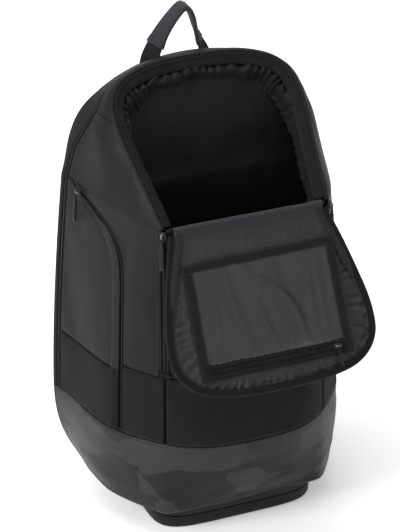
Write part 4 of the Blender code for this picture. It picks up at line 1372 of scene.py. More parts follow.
def divider():
    """The compartment's back wall: a padded wall under loose lining that bags at its top."""
    rows = []
    levels = spread(u_at(0.0425), 1.0, 46) + spread(1.0, 1.93, 52)[1:]
    for u in levels:
        wall = skin(1, u, divider_s(u)) - arch_normal(u) * 0.0058
        row = []
        for k in spread(-1, 1, 60):
            x = wall.x * k
            high = ease((u - 1.15) / 0.7)
            hang = abs(math.sin(4.6 * k + 0.6 * math.sin(3 * k))) ** 0.7
            bag_out = high * 0.0045 * hang * (1 - abs(k) ** 6)
            crease = 0.0016 * ripple((x, 0, wall.z), 0.040, (1, 1, 1.8), 51)
            crease += 0.0010 * ripple((x, 0, wall.z), 0.016, (1, 1, 1.6), 53)
            row.append(Vector((x, wall.y - 0.0015 - bag_out - crease * (1 - abs(k) ** 8), wall.z)))
        rows.append(row)
    item = sheet("divider_lining", rows, -BACK, 0.0030, INNER, "bag", ["compartment_divider"])


# ---------------------------------------- flap

FLAP_CENTRE = Vector((0, 0.100, 0))
FLAP_RINGS = [
    0.0, 0.12, 0.24, 0.36, 0.47, 0.56, 0.64, 0.70, 0.74, 0.77, 0.795, 0.82, 0.84, 0.86, 0.88, 0.90,
    0.915, 0.93, 0.944, 0.957, 0.968, 0.978, 0.987, 0.994, 1.0,
]


def free_edge():
    """The flap's free edge as points (x, v), from its left end at the fold round to its right end."""
    right = [(half, v) for v, half in FLAP_OUTLINE] + [(0.036, 0.1962), (0.0, 0.1972)]
    left = [(-half, v) for half, v in right[-2::-1]]
    far = smooth_path([(x, v, 0) for x, v in right + left], 8)
    return resample(far[::-1], 0.0022)


def closed_outline(free):
    """The free edge, then the fold line from right to left, as a closed ring of points."""
    back = [Vector((x, FLAP_OUTLINE[0][0], 0)) for x in spread(free[-1].x, free[0].x, 70)]
    return free + back[1:-1]


def dish(name, level, ring, thickness, finish, nodes):
    """A closed sheet on rings about the flap's centre, with a thickness towards the flap's outside."""
    face, flat = [], []
    for r in FLAP_RINGS:
        for k, edge in enumerate(ring):
            spot = FLAP_CENTRE.lerp(edge, max(r, 1e-4))
            face.append(flap_point(spot.x, spot.y, level(spot.x, spot.y, r, k)))
            flat.append((spot.x, spot.y))
    count, total = len(ring), len(face)
    back = [point + FLAP_OUT * thickness for point in face]
    front = quads(len(FLAP_RINGS), count, ring=True)
    faces = front + [tuple(k + total for k in reversed(f)) for f in front]
    last = total - count
    for j in range(count):
        n = (j + 1) % count
        faces.append((last + j, last + total + j, last + total + n, last + n))
    faces.append(tuple(reversed(range(count))))
    faces.append(tuple(total + j for j in range(count)))
    faces = [f[::-1] for f in faces]
    return piece(name, face + back, faces, finish, "flap", nodes, flat + flat)


def in_pocket(x, v, margin):
    """1 inside the pocket's frame, fading to 0 over a margin outside it."""
    over = max(abs(x) - POCKET_HALF, POCKET_NEAR - v, v - POCKET_FAR, 0.0)
    return 1 - clamp(over / margin)


def lining_level(x, v, r, k):
    """How far the lining stands from the flap's middle plane: flat at the fold, gathered at its free edge."""
    free = ease((v - 0.012) / 0.035)
    outside = 1 - in_pocket(x, v, 0.008)
    turns = k / 5.2 + 0.9 * noise.noise(Vector((k * 0.07, 2.0, 0)))
    turns += 0.35 * noise.noise(Vector((x * 60, v * 60, 0)))
    pleat = math.sin(2 * math.pi * turns) * (0.35 + 1.30 * abs(noise.noise(Vector((k * 0.05, 9.0, 0)))))
    bunch = noise.noise(Vector((x * 60, v * 60, 3.0)))
    crease = noise.noise(Vector((r * 46, k * 0.035, 5.0)))
    reach = clamp((r - 0.72) / 0.10) * (1 - ease((r - 0.955) / 0.035))
    puff = -0.0008 * math.sin(math.pi * clamp((r - 0.74) / 0.26)) ** 0.7 * free * outside
    fold = (0.0016 * (1 + pleat) + 0.0026 * abs(bunch) ** 0.7 - 0.0010 * crease) * free * outside * reach
    soft = -0.0006 * noise.noise(Vector((x * 30, v * 30, 7.0))) * outside
    return 0.0006 + puff + fold + soft + 0.0014 * ease((r - 0.965) / 0.03) * free


def shell_level(x, v, r, k):
    """The outer shell's inner face, which the dome and a little slack lift off the lining."""
    base = mix(0.0036, 0.0052, clamp(v / 0.05)) - 0.0026
    edge = -0.0012 * ease((r - 0.965) / 0.035)
    slack = 0.0008 * noise.noise(Vector((x * 22, v * 16, 1.0))) * clamp((1 - r) / 0.1)
    return base + flap_dome(x, v) + edge + slack


def on_flap(spots, w):
    """A path on the flap's lining side through (x, v) spots, and its normals, away from the lining."""
    path = [flap_point(x, v, w) for x, v in spots]
    return path, [-FLAP_OUT] * len(path)


def flap_ribbon(name, spots, section, finish, slot, nodes=(), w=0.0):
    ribbon(name, *on_flap(spots, w), section, finish, "flap", slot, nodes)


def moved_in(free, distance):
    """The free edge moved towards the flap's middle, as (x, v) spots."""
    moved = []
    for k, point in enumerate(free):
        along = heading(free, k)
        inward = Vector((-along.y, along.x, 0))
        if inward.dot(FLAP_CENTRE - point) < 0:
            inward = -inward
        spot = point + inward * distance
        moved.append((spot.x, spot.y))
    return moved


def flap_body():
    """The flap's shell and lining, the layers of its free edge, and the tapes beside the fold."""
    free = free_edge()
    ring = closed_outline(free)
    item = dish("flap_outer", shell_level, ring, 0.0026, COATED, ["flap_shell"])
    nodes = ["flap_lining"]
    item = dish("flap_inner_lining", lining_level, ring, LINING_THICK, GATHERED, nodes)
    piping, binding = round_section(0.0020, 0, 10), round_section(0.0010, 0.0002, 8)
    wall = tape_section(0.0050, 0.0044, -0.0022)
    outer = moved_in(free, -0.0022)
    flap_ribbon("flap_edge_piping", outer, piping, TAPE, "zip_tape", ["flap_piping"], 0.0020)
    flap_ribbon("flap_edge_wall", moved_in(free, -0.0006), wall, COATED, "coated_fabric", w=0.0030)
    path, normals = on_flap(moved_in(free, 0.0020), 0.0008)
    chain("flap_edge_teeth", path, normals, "flap", 0.0028, 0.0011, 0.0002)
    flap_ribbon("flap_edge_binding", moved_in(free, 0.0042), binding, TAPE, "zip_tape", w=0.0006)
    for side, label in SIDES:
        spots = []
        for v in spread(0.004, 0.100, 30):
            inset = 0.0036 + 0.9 * mix(0.0052, 0.0016, ease(v / 0.10))
            spots.append((side * (flap_half(max(v, 0.006)) - inset), v))
        path, normals = on_flap(spots, 0.0)
        tapered(f"flap_side_tape_{label}", path, normals, side_tape_section, EDGE_TAPE, "flap")


def side_tape_section(t):
    """The tape beside the fold: it narrows and sinks under the gathers at its far end."""
    wide = mix(0.0045, 0.0012, ease((t - 0.66) / 0.34))
    sink = 0.0010 * ease((t - 0.72) / 0.28)
    left = [(-1.0, -0.0008), (-0.96, 0.0004), (-0.67, 0.0009)]
    ring = left + [(0.0, 0.0010)] + [(-a, h) for a, h in reversed(left)]
    return [(a * wide, h - sink) for a, h in ring]


def wandering(start, end, count, amount, seed):
    """(x, v) spots on a line that wanders a little, as sewn tape on loose cloth does."""
    spots = []
    for t in spread(0, 1, count):
        x, v = mix(start[0], end[0], t), mix(start[1], end[1], t)
        shift = amount * noise.noise(Vector((x * 45, v * 45, seed)))
        across = Vector((end[1] - start[1], start[0] - end[0], 0)).normalized()
        spots.append((x + across.x * shift, v + across.y * shift))
    return spots


def flap_pocket():
    """The see-through pocket's four sewn tapes, and a zip along its far side; its creased film is made in
    film().
    """
    tape = tape_section(0.0112, 0.0011, 0.0007, 0.0002)
    wide = tape_section(0.0122, 0.0011, 0.0007, 0.0002)
    top = wandering((-0.0935, 0.0465), (0.0945, 0.0440), 60, 0.0016, 1)
    left = wandering((-0.0865, 0.0490), (-0.0905, 0.1760), 50, 0.0012, 2)
    right = wandering((0.0905, 0.0480), (0.0880, 0.1750), 50, 0.0012, 3)
    flap_ribbon("pocket_tape_top", top, tape, FRAME_TAPE, "webbing", ["pocket_frame"])
    flap_ribbon("pocket_tape_left", left, wide, FRAME_TAPE, "webbing", w=-0.0002)
    flap_ribbon("pocket_tape_right", right, tape, FRAME_TAPE, "webbing", w=-0.0002)
    line = wandering((-0.0890, 0.1660), (0.0860, 0.1660), 60, 0.0008, 4)
    section = tape_section(0.0190, 0.0010, 0.0008, 0.0001)
    flap_ribbon("pocket_zip_tape", line, section, TAPE, "zip_tape", ["pocket_zip"], w=-0.0001)
    path, normals = on_flap(line, -0.0020)
    chain("pocket_zip_teeth", path, normals, "flap", lift=0.0)
    for k, shift in enumerate((-0.0052, 0.0058)):
        spots, bead = [(x, v + shift) for x, v in line], round_section(0.0009, 0, 8)
        flap_ribbon(f"pocket_zip_bead_{k}", spots, bead, FRAME_TAPE, "webbing", w=-0.0020)
    runs = []
    for spots, width, w in ((top, 0.0088, -0.0020), (left, 0.0096, -0.0022), (right, 0.0088, -0.0022)):
        path, normals = on_flap(spots, w)
        frames = frames_along(path, normals)
        for way in (-0.5, 0.5):
            runs.append(([p + across * way * width for p, along, across, out in frames], normals))
    stitching("pocket_stitches", runs, "flap")


# Where each crease of the film starts along the pocket's near side, its lean, bend, width and height.
FILM_FOLDS = [
    (-0.066, 0.06, -0.10, 0.0070, 0.0019),
    (-0.044, -0.05, 0.25, 0.0080, 0.0024),
    (-0.020, 0.04, 0.20, 0.0060, 0.0015),
    (0.012, 0.10, 0.20, 0.0070, 0.0014),
    (0.044, 0.06, 0.05, 0.0070, 0.0028),
    (0.058, 0.03, -0.20, 0.0060, 0.0025),
    (0.070, -0.12, 0.10, 0.0055, 0.0020),
]
# The film's one long bow: its place across the pocket at shares of the way from the near to the far tape.
FILM_ARC = [
    (0.0, -0.016), (0.24, -0.001), (0.40, 0.018), (0.55, 0.029), (0.72, 0.034), (0.90, 0.036), (1.0, 0.036),
]


def film():
    """The pocket's film: loose, with long creases that run down from its near tape."""
    rows = []
    near, far = 0.0465, 0.1600
    for t in spread(0, 1, 60):
        v = mix(near, far, t)
        low, high = mix(-0.0830, -0.0865, t), mix(0.0880, 0.0850, t)
        row = []
        for q in spread(0, 1, 110):
            x = mix(low, high, q)
            lift = 0.0
            for start, lean, bend, wide, tall in FILM_FOLDS:
                run = v - near
                middle = start + lean * run + bend * run * run / 0.12
                fade = ease(t / 0.12) * (0.35 + 0.65 * math.sin(math.pi * clamp(t * 0.9 + 0.12)))
                lift += tall * fade * math.exp(-((x - middle) / wide) ** 2)
            off = x - along_stops(FILM_ARC, t)
            slope = 0.0062 if off > 0 else 0.015
            lift += 0.0052 * ease((t - 0.16) / 0.2) * ease((1.02 - t) / 0.15) * math.exp(-(off / slope) ** 2)
            turn = x * 2 * math.pi / 0.017 + 3 * noise.noise(Vector((x * 30, 5, 0)))
            pucker = 0.0010 * ease((t - 0.80) / 0.15) * abs(math.sin(turn))
            lift += pucker + 0.0007 * ripple((x, v, 0), 0.020, (1, 2.0, 1), 71) + 0.0006
            lift *= ease(t / 0.05) * ease((1 - t) / 0.04) * ease(q / 0.04) * ease((1 - q) / 0.04)
            row.append(flap_point(x, v, -0.0012 - max(lift, 0.0)))
        rows.append(row)
    item = sheet("pocket_film_sheet", rows, -FLAP_OUT, 0.0003, FILM, "flap", ["pocket_film"])


FOLD_HALF = 0.0925


def fold_cloth():
    """Lining that runs from the compartment over the fold into the flap, and shell cloth on its outside."""
    roll = [
        (-0.0105, -0.0300), (-0.0085, -0.0150), (-0.0072, -0.0050), (-0.0050, 0.0008), (-0.0022, 0.0028),
        (0.0008, 0.0032), (0.0036, 0.0020),
    ]
    onto_flap = [(0.0030, -0.0014), (0.0060, -0.0006), (0.0100, 0.0000), (0.0150, 0.0010)]
    rows = []
    for x in dense(-FOLD_HALF, FOLD_HALF, 60, 1.0):
        sag = 0.0006 * noise.noise(Vector((x * 40, 0, 2)))
        inside = [Vector((x, FOLD_Y - back, FOLD_Z + up + sag)) for back, up in roll]
        rows.append(inside + [flap_point(x, v, w + 0.5 * sag) for v, w in onto_flap])
    item = sheet("fold_lining", rows, UP, LINING_THICK, LINING, None, ["fold_binding"])
    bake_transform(item)
    below = [(0.0034, -0.0070), (0.0024, -0.0034), (0.0018, -0.0012), (0.0002, -0.0008)]
    onto_flap = [(0.0030, 0.0014), (0.0060, 0.0040), (0.0085, 0.0050), (0.0105, 0.0050)]
    rows = []
    for x in dense(-FOLD_HALF, FOLD_HALF, 60, 1.0):
        outside = [FOLD + Vector((x, back, up)) for back, up in below]
        rows.append(outside + [flap_point(x, v, w) for v, w in onto_flap])
    item = sheet("fold_shell", rows, (0, 1, -1), LINING_THICK, COATED, None)
    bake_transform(item)


# ---------------------------------------- sliders and pulls

def zip_slider(name, cad_node, place, along, out, length=0.0100, width=0.0074):
    """A slider: two plates round the teeth, a nose, and a bridge that the pull hangs on."""
    across = along.cross(out).normalized()
    axes = (across, along, out)
    half_x, half_y = width / 2, length / 2
    nose = place - along * (half_y - 0.0016)
    lumps = [
        lump(place, axes, half_x, half_y, -0.0006, 0.0004, 0.0020, 0.0003),
        lump(place, axes, half_x, half_y, 0.0011, 0.0022, 0.0022, 0.0004),
        lump(nose, axes, half_x - 0.0010, 0.0014, -0.0004, 0.0020, 0.0010, 0.0003),
    ]
    points, faces = joined(lumps)
    fixed(piece(name, points, faces, LACQUER, cad_node, [cad_node], flat_angle=35))
    arch = []
    for t in spread(0, math.pi, 10):
        arch.append(place + along * (0.0034 * math.cos(t)) + out * (0.0020 + 0.0024 * math.sin(t)))
    frames = frames_along(arch, [across] * len(arch))
    points, faces = loft([hoop(point, b, c, 0.0007, 0.0012, 8) for point, a, b, c in frames])
    fixed(piece(name + "_bridge", points, faces, METAL, cad_node, flat_angle=35))


# Each ridge of a pull's grip: shift along the pull, share of its width, and thickness.
RIDGE = ((-0.0009, 0.92, 0.0016), (-0.0004, 1, 0.0021), (0.0004, 1, 0.0021), (0.0009, 0.92, 0.0016))


def zip_pull(name, cad_node, place, along, out, length, width, stout=1.0):
    """A pull: a wire loop through the bridge, a short cord, and a moulded grip with ridges."""
    across = along.cross(out).normalized()
    loop = []
    for t in spread(-math.pi * 0.5, math.pi * 1.5, 16)[:-1]:
        loop.append(place + along * (0.0026 + 0.0036 * math.sin(t)) + across * (0.0019 * math.cos(t)))
    wire = []
    for k, point in enumerate(loop):
        side = heading(loop, k, closed=True).cross(out).normalized()
        wire.append(hoop(point, side, out, 0.0006, 0.0006, 6))
    wire.append(wire[0])
    stations = [(0.0045, 0.0016, 0.0008), (0.0060, 0.0020, 0.0012)]
    stations += [(length * 0.24, 0.0019, 0.0014), (length * 0.30, width * 0.40, 0.0018)]
    ridges = 7
    for k in range(ridges):
        at = mix(length * 0.42, length * 0.88, k / (ridges - 1))
        wide = width * (0.50 - 0.06 * k / ridges)
        for shift, share, thick in RIDGE:
            stations.append((at + shift, wide * share, thick))
    stations += [(length * 0.95, width * 0.42, 0.0013), (length, width * 0.22, 0.0007)]
    grip = []
    for at, half, thick in stations:
        ring = rounded_rectangle(half, thick * stout, thick * stout * 0.9, 2)
        grip.append([place + along * at + across * x + out * y for x, y in ring])
    points, faces = joined([loft(wire), loft(grip)])
    return fixed(piece(name, points, faces, PULL, cad_node, [cad_node], flat_angle=35))


def seat(side, u, line):
    """Where a slider sits on a side's zip: its place, its out direction, and the way down the zip."""
    place = skin(side, u, line(u))
    out = skin_normal(side, u, line(u))
    along = skin(side, u - 0.05, line(u - 0.05)) - place
    return place, out, (along - out * along.dot(out)).normalized()


def sliders():
    """Every slider with its pull, each on its own body."""
    down = -UP
    for side, label in SIDES:
        out = seam_normal(side)
        place = Vector((side * SEAM_X, FRONT_Y, FOLD_Z - 0.006)) + out * 0.0008
        zip_slider(f"slider_front_{label}", f"front_slider_{label}", place, down, out, 0.0110, 0.0080)
        zip_pull(f"pull_front_{label}", f"front_pull_{label}", place + out * 0.0038, down, out, 0.042, 0.0076)
        place, out, along = seat(side, POCKET_SLIDER, pocket_zip_s)
        place += out * 0.0026
        zip_slider(f"slider_side_{label}", f"side_slider_{label}", place, along, out)
        hang = (down - out * down.dot(out)).normalized()
        zip_pull(f"pull_side_{label}", f"side_pull_{label}", place + out * 0.0042, hang, out, 0.038, 0.0064)
    place, out, along = seat(1, MAIN_SLIDER, main_zip_s)
    place += out * 0.0018
    zip_slider("slider_main", "main_slider", place, along, out)
    zip_pull("pull_main", "main_pull", place + out * 0.0038, along, out, 0.040, 0.0066)
    place = flap_point(0.074, POCKET_FAR - 0.0105, -0.0026)
    zip_slider("slider_pocket", "pocket_slider", place, Vector((1, 0, 0)), -FLAP_OUT, 0.0090, 0.0068)
    place -= FLAP_OUT * 0.0026
    zip_pull("pull_pocket", "pocket_pull", place, FLAP_DOWN, -FLAP_OUT, 0.024, 0.0050, 0.5)


# ---------------------------------------- handle, straps and back

HANDLE_PATH = [
    (-0.045, 0.1055, 0.512), (-0.042, 0.110, 0.541), (-0.028, 0.112, 0.569), (-0.011, 0.112, 0.592),
    (0.002, 0.112, 0.602), (0.011, 0.112, 0.591), (0.018, 0.112, 0.566), (0.027, 0.110, 0.541),
    (0.031, 0.1055, 0.512),
]
HANDLE_WIDTH = 0.026
STRAP_PATH = [
    (0.048, 0.1255, 0.497), (0.054, 0.1400, 0.460), (0.062, 0.1530, 0.410), (0.071, 0.1590, 0.355),
    (0.081, 0.1570, 0.300), (0.090, 0.1490, 0.255), (0.098, 0.1380, 0.218),
]
WEB_PATH = [
    (0.1010, 0.1290, 0.1890), (0.1060, 0.1240, 0.1600), (0.1130, 0.1150, 0.1250), (0.1190, 0.1075, 0.1000),
]
WEB_WIDTH = 0.024
STRAP_WIDTHS = (0.066, 0.040)
PAD_BACK = 0.0998


def normals_on_back(path, turn=0.0):
    """Normals of a strip that lies flat along the back, and is turned on edge in its middle by a share."""
    last = len(path) - 1
    normals = []
    for k in range(last + 1):
        along = heading(path, k)
        flat = along.cross(BACK).normalized()
        across = flat.lerp(BACK, turn * math.sin(math.pi * k / last) ** 0.8).normalized()
        normals.append(across.cross(along).normalized())
    return normals


def handle():
    """The grab handle: a loop of webbing under a heathered sleeve. Its two sewn feet stay on the bag."""
    path = smooth_path(HANDLE_PATH, 12)
    last = len(path) - 1
    normals = normals_on_back(path, 1.0)
    section = tape_section(HANDLE_WIDTH - 0.003, 0.0022, -0.0011)
    ribbon("handle_web", path[3:-3], normals[3:-3], section, WEBBING, "handle", "webbing", ["handle_webbing"])
    for k, end in enumerate((0, last)):
        down = [path[end] + UP * rise for rise in (-0.010, -0.004, 0.002, 0.0052)]
        ribbon(f"handle_foot_{k}", down, [normals[end]] * len(down), section, WEBBING, "bag", "webbing")
    bare = round(last * 0.205)
    outer = squarish(HANDLE_WIDTH / 2, 0.0027, 0.5, 0.8, 28)
    hem = [(a * 1.035, h * 1.18) for a, h in outer]
    grip, facing = path[bare:last - bare + 1], normals[bare:last - bare + 1]
    sleeve = ribbon("handle_grip", grip, facing, outer, SLEEVE, "handle", "handle_sleeve", ["handle_sleeve"])
    for k, first in enumerate((bare - 1, last - bare - 2)):
        span = slice(first, first + 4)
        ribbon(f"handle_hem_{k}", path[span], normals[span], hem, SLEEVE, "handle", "handle_sleeve")
    runs = []
    for way in (-0.40, 0.40):
        for face in (-1, 1):
            line = []
            for point, along, across, out in frames_along(grip, facing):
                line.append((point + across * way * HANDLE_WIDTH + out * 0.0026 * face, out * face))
            runs.append(tuple(zip(*line)))
    stitching("handle_stitches", runs, "handle")


def cushion(name, centre, half_x, half_z, thick, radius, channels, nodes, seed):
    """A padded panel on the back: crowned, bound round its edge, with channels sewn across it."""
    def half_at(z):
        over = max(0.0, abs(z) - (half_z - radius))
        return half_x - radius + math.sqrt(max(0.0, radius * radius - over * over))

    def level(x, z):
        corner_x, corner_z = abs(x) - (half_x - radius), abs(z) - (half_z - radius)
        if corner_x > 0 and corner_z > 0:
            away = radius - math.hypot(corner_x, corner_z)
        else:
            away = min(half_x - abs(x), half_z - abs(z))
        rise = math.sqrt(max(0.0, 1 - (1 - clamp(away / (thick * 0.8))) ** 2))
        nearest = min((abs(z - channel) for channel in channels), default=1.0)
        pinch = 0.55 * math.exp(-(nearest / 0.0042) ** 2) * rise
        puff = 0.10 * (1 - math.exp(-(nearest / 0.020) ** 2))
        soft = 0.0007 * ripple((x, 0, z), 0.034, (1, 1, 1), seed)
        return thick * (0.20 + (0.70 + puff) * rise - pinch) + soft * rise

    def at(x, rise, z):
        return Vector((centre[0] + x, PAD_BACK + rise, centre[1] + z))

    face = []
    heights = dense(-half_z + 0.0002, half_z - 0.0002, round(2 * half_z / 0.0021), 1.0)
    for z in heights:
        wide = half_at(z)
        face += [at(x, level(x, z), z) for x in dense(-wide, wide, 46, 1.0)]
    front, rows = len(face), len(heights)
    columns = front // rows
    points = face + [Vector((p.x, PAD_BACK + 0.0002, p.z)) for p in face]
    faces = quads(rows, columns)
    faces += [tuple(k + front for k in reversed(quad)) for quad in faces]
    border = border_of(rows, columns)
    faces += [(a, b, b + front, a + front) for a, b in zip(border, border[1:] + border[:1])]
    uvs = [(p.x, p.z) for p in points]
    item = fixed(piece(name, points, faces, MESH, "bag", nodes, uvs))
    outline = [Vector((x, z, 0)) for x, z in rounded_rectangle(half_x, half_z, radius, 10)]
    path = [at(p.x, thick * 0.20, p.y) for p in resample(outline + outline[:1], 0.004)[:-1]]
    bead = round_section(0.0021, 0, 8)
    ribbon(name + "_binding", path, [BACK] * len(path), bead, WEBBING, "bag", "webbing", closed=True)
    runs = []
    for channel in channels:
        for z in (channel - 0.0012, channel + 0.0012):
            line = [at(x, level(x, z) + 0.0003, z) for x in spread(-half_x + 0.004, half_x - 0.004, 70)]
            runs.append((line, [BACK] * len(line)))
    stitching(name + "_stitches", runs, "bag")


def back_panel():
    """The panel that the pads are sewn on."""
    rows = []
    for u in spread(u_at(BAND_LOW_Z + 0.004), 1.0, 50) + spread(1.0, 1.97, 40)[1:]:
        edge = back_edge(u) - arch_normal(u) * 0.0022
        rows.append([Vector((edge.x * k, edge.y + 0.0002 * (1 - k * k), edge.z)) for k in spread(-1, 1, 60)])
    grid = as_grid(rows)
    normals = grid_normals(grid, BACK)
    height = relief(grid, soft_folds(0.050, 0.0007, (1, 1, 1.4), 61.0))
    grid = seamed(grid, normals, ALL_EDGES, height - 0.0008, 0.0002)
    item = shell("back_wall", grid, normals, 0.0030, MATTE, "bag", ["back_panel"])
    edge = []
    for side, u in arch_levels(u_at(BAND_LOW_Z + 0.006), 100):
        point = back_edge(u) - arch_normal(u) * 0.0024
        edge.append(Vector((point.x * side, point.y + 0.0006, point.z)))
    bead = round_section(0.0022, 0.0, 10)
    ribbon("back_edge_piping", edge, [BACK] * len(edge), bead, WEBBING, "bag", "webbing")


def strap_half(t):
    """Half of a strap's width at a share of its length."""
    return mix(*STRAP_WIDTHS, t ** 3) / 2


def strap_section(t):
    """A padded strap's section: wide and soft, pressed in beside the binding of both edges."""
    wide, thick, press = strap_half(t), 0.0052, 0.0014
    ring = []
    for x, y in squarish(wide, thick, 0.45, 0.75, 40):
        dip = press * math.exp(-((abs(x) - wide + 0.0070) / 0.0022) ** 2)
        ring.append((x, y * (1 - dip / thick)))
    return ring


def tapered(name, path, normals, section, finish, body, nodes=()):
    """A section that changes along the path: section(t) gives its points at a share t of the path."""
    last = len(path) - 1
    points, distances = swept(frames_along(path, normals), lambda k: section(k / last))
    uvs = [(a, travelled) for k, travelled in enumerate(distances) for a, h in section(k / last)]
    count = len(section(0.0))
    faces = quads(last + 1, count, ring=True)
    faces += [tuple(range(count)), tuple(last * count + j for j in range(count))]
    return fixed(piece(name, points, faces, finish, body, nodes, uvs))


def straps():
    """On each side: the padded strap, its lower webbing, the buckle, the loose tail and the anchor tab."""
    for side, label in SIDES:
        path = resample(smooth_path([(x * side, y, z) for x, y, z in STRAP_PATH], 8), 0.0045)
        normals = normals_on_back(path)
        nodes = [f"shoulder_strap_{label}"]
        strap = tapered(f"strap_{label}", path, normals, strap_section, MESH, "bag", nodes)
        strap_trim(label, path, normals)
        path = resample(smooth_path([(x * side, y, z) for x, y, z in WEB_PATH], 8), 0.003)
        section, nodes = tape_section(WEB_WIDTH, 0.0018, -0.0009), [f"strap_webbing_{label}"]
        ribbon(f"strap_web_{label}", path, normals_on_back(path), section, WEBBING, "bag", "webbing", nodes)
        place = Vector((side * 0.1215, 0.1030, 0.0930))
        axes = (Vector((1, 0, 0)), UP, BACK)
        points, faces = lump(place, axes, 0.0165, 0.0140, -0.0030, 0.0010, 0.004, 0.0008)
        fixed(piece(f"anchor_tab_{label}", points, faces, MATTE, "bag"))
        ladder_lock(side, label)
        tail(side, label)


def strap_trim(label, path, normals):
    """A strap's bound edges, and the webbing along its face, tacked down by rows of stitches."""
    last = len(path) - 1
    frames = frames_along(path, normals)
    for k, way in enumerate((-1, 1)):
        edge = []
        for i, (point, along, across, out) in enumerate(frames):
            edge.append(point + across * way * (strap_half(i / last) - 0.0012))
        bead = round_section(0.0030, 0, 10)
        ribbon(f"strap_binding_{label}_{k}", edge, normals, bead, WEBBING, "bag", "webbing")
    sign = 1 if normals[last // 2].y > 0 else -1
    face = [normal * sign for normal in normals]
    top = [point + normal * 0.0050 for point, normal in zip(path, face)]
    section = tape_section(0.0200, 0.0014, 0.0)
    ribbon(f"strap_ladder_{label}", top[3:-2], face[3:-2], section, WEBBING, "bag", "webbing")
    runs = []
    for point, along, across, out in frames_along(top, face)[8:last - 6:9]:
        for shift in (-0.0022, 0.0, 0.0022):
            spots = [point + along * shift + across * a + out * 0.0016 for a in (-0.0090, 0.0, 0.0090)]
            runs.append((spots, [out] * 3))
    stitching(f"strap_bars_{label}", runs, "bag")


def ladder_lock(side, label):
    """A buckle with two slots: side rails and three bars."""
    lean = math.radians(-15)
    centre = Vector((side * 0.0995, 0.1340, 0.2020))
    across = Vector((1, 0, 0))
    along = Vector((0, -math.sin(lean), math.cos(lean)))
    out = Vector((0, math.cos(lean), math.sin(lean)))
    axes = (across, along, out)
    rail = 0.0150
    lumps = [lump(centre + across * x, axes, 0.0019, 0.0100, -0.0024, 0.0024, 0.0012) for x in (-rail, rail)]
    upper, middle = (0.0080, -0.0020, 0.0020, 0.0018), (0.0005, -0.0006, 0.0024, 0.0016)
    lower = (-0.0082, -0.0022, 0.0018, 0.0017)
    for y, low, high, half in (upper, middle, lower):
        lumps.append(lump(centre + along * y, axes, rail, half, low, high, 0.0010))
    points, faces = joined(lumps)
    nodes = [f"ladder_lock_{label}"]
    fixed(piece(f"lock_{label}", points, faces, BUCKLE, "bag", nodes, flat_angle=35))


def tail(side, label):
    """The loose end of the webbing, which hangs from the buckle and is folded over at its tip."""
    top = Vector((side * 0.0995, 0.1390, 0.1980))
    path = [top + Vector((0, 0.0016 * math.sin(t * 5.0) * t, -0.0885 * t)) for t in spread(0, 1, 40)]
    normals = [BACK] * len(path)
    body = f"webbing_tail_{label}"
    web, hem = tape_section(WEB_WIDTH, 0.0017, -0.0009), tape_section(WEB_WIDTH, 0.0018, 0.0006)
    ribbon(f"tail_{label}", path, normals, web, WEBBING, body, "webbing", [body])
    ribbon(f"tail_hem_{label}", path[-8:], normals[-8:], hem, WEBBING, body, "webbing")


def yoke():
    """The padded bar that both shoulder straps start from."""
    path = [Vector((x, 0.1100, 0.5005)) for x in spread(-0.080, 0.080, 50)]

    def section(t):
        soft = 1 - 0.55 * (abs(2 * t - 1) ** 9)
        return squarish(0.0102 * soft, 0.0090 * soft, 0.6, 0.6, 28)

    normals = [BACK] * len(path)
    bar = tapered("strap_yoke_pad", path, normals, section, MESH, "bag", ["strap_yoke"])


def pads():
    """Two tall pads on the back, and a wide lumbar pad below them."""
    for side, label in SIDES:
        name, nodes = f"back_cushion_{label}", [f"back_pad_{label}"]
        cushion(name, (side * 0.073, 0.340), 0.055, 0.135, 0.0138, 0.020, (-0.045, 0.045), nodes, 5.0 + side)
    cushion("lumbar_cushion", (0.0, 0.1275), 0.095, 0.0575, 0.0158, 0.020, (0.0,), ["lumbar_pad"], 9.0)


# ---------------------------------------- finishes of the CAD nodes that stay

def finish_nodes():
    """Materials for the two plates that stay as the CAD model has them."""
    for name, finish in (("bottom_panel", UNDER), ("floor_board", BOARD)):
        item = frame["nodes"][name]
        for k in range(max(1, len(item.material_slots))):
            if item.material_slots:
                item.material_slots[k].material = finish
            else:
                item.data.materials.append(finish)


# ---------------------------------------- floor, light and camera

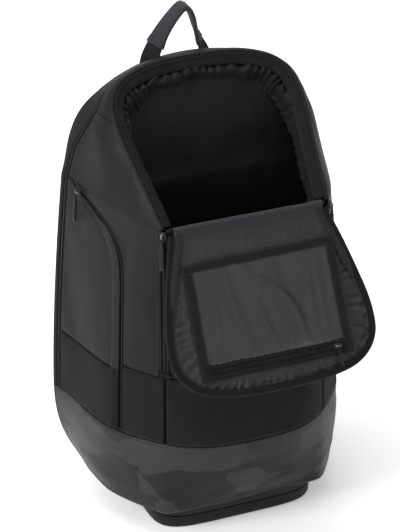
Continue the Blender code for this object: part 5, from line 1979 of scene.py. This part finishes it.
def stage():
    """A white floor, white surroundings and four soft lamps."""
    floor = bpy.data.materials.new("floor")
    floor.use_nodes = True
    shader = floor.node_tree.nodes["Principled BSDF"]
    shader.inputs["Base Color"].default_value = (0.93, 0.93, 0.93, 1.0)
    shader.inputs["Roughness"].default_value = 0.9
    shader.inputs["Emission Color"].default_value = (1.0, 1.0, 1.0, 1.0)
    shader.inputs["Emission Strength"].default_value = 0.26
    reach = 40.0
    corners = [(x * reach, y * reach, -0.0005) for x, y in ((-1, -1), (1, -1), (1, 1), (-1, 1))]
    mesh = bpy.data.meshes.new("floor")
    mesh.from_pydata(corners, [], [(0, 1, 2, 3)])
    mesh.materials.append(floor)
    item = bpy.data.objects.new("floor", mesh)
    bpy.context.scene.collection.objects.link(item)
    bpy.context.scene.view_settings.view_transform = "Standard"
    world = bpy.data.worlds.new("studio")
    bpy.context.scene.world = world
    world.use_nodes = True
    world.node_tree.nodes["Background"].inputs["Color"].default_value = (1.0, 1.0, 1.0, 1.0)
    world.node_tree.nodes["Background"].inputs["Strength"].default_value = 0.57
    lamp("key", (-2.3, -0.5, 1.6), (0, 0, 0.30), 1.1, 50.0)
    lamp("fill", (0.9, -2.4, 1.3), (0, 0, 0.28), 1.4, 4.0)
    lamp("top", (-0.2, 0.2, 2.3), (0, 0, 0.40), 1.3, 18.0)
    lamp("back", (0.6, 2.2, 1.3), (0, 0, 0.30), 1.2, 12.0)


def aimed(name, data, place, target):
    """A lamp or camera at a place, turned to its target."""
    item = bpy.data.objects.new(name, data)
    item.location = place
    item.rotation_mode = "QUATERNION"
    item.rotation_quaternion = (Vector(target) - Vector(place)).to_track_quat("-Z", "Y")
    bpy.context.scene.collection.objects.link(item)
    return item


def lamp(name, place, target, size, energy):
    light = bpy.data.lights.new(name, "AREA")
    light.shape = "SQUARE"
    light.size = size
    light.energy = energy
    aimed(name, light, place, target)


def camera():
    """The camera, from the upper left of the front."""
    data = bpy.data.cameras.new("camera")
    data.lens = 166.06
    data.sensor_width = 36.0
    place, target = (-1.0047, -2.3724, 1.6936), (-0.01288, 0.0253, 0.30117)
    bpy.context.scene.camera = aimed("camera", data, place, target)


camera()
base_tray()
band()
side_panels()
gussets()
front_panels()
main_zip()
pocket_zips()
front_zips()
seam_threads()
rim()
mouth_gathers()
divider()
mouth_lining()
well_lining()
flap_body()
flap_pocket()
film()
fold_cloth()
sliders()
handle()
back_panel()
pads()
yoke()
straps()
finish_nodes()
stage()
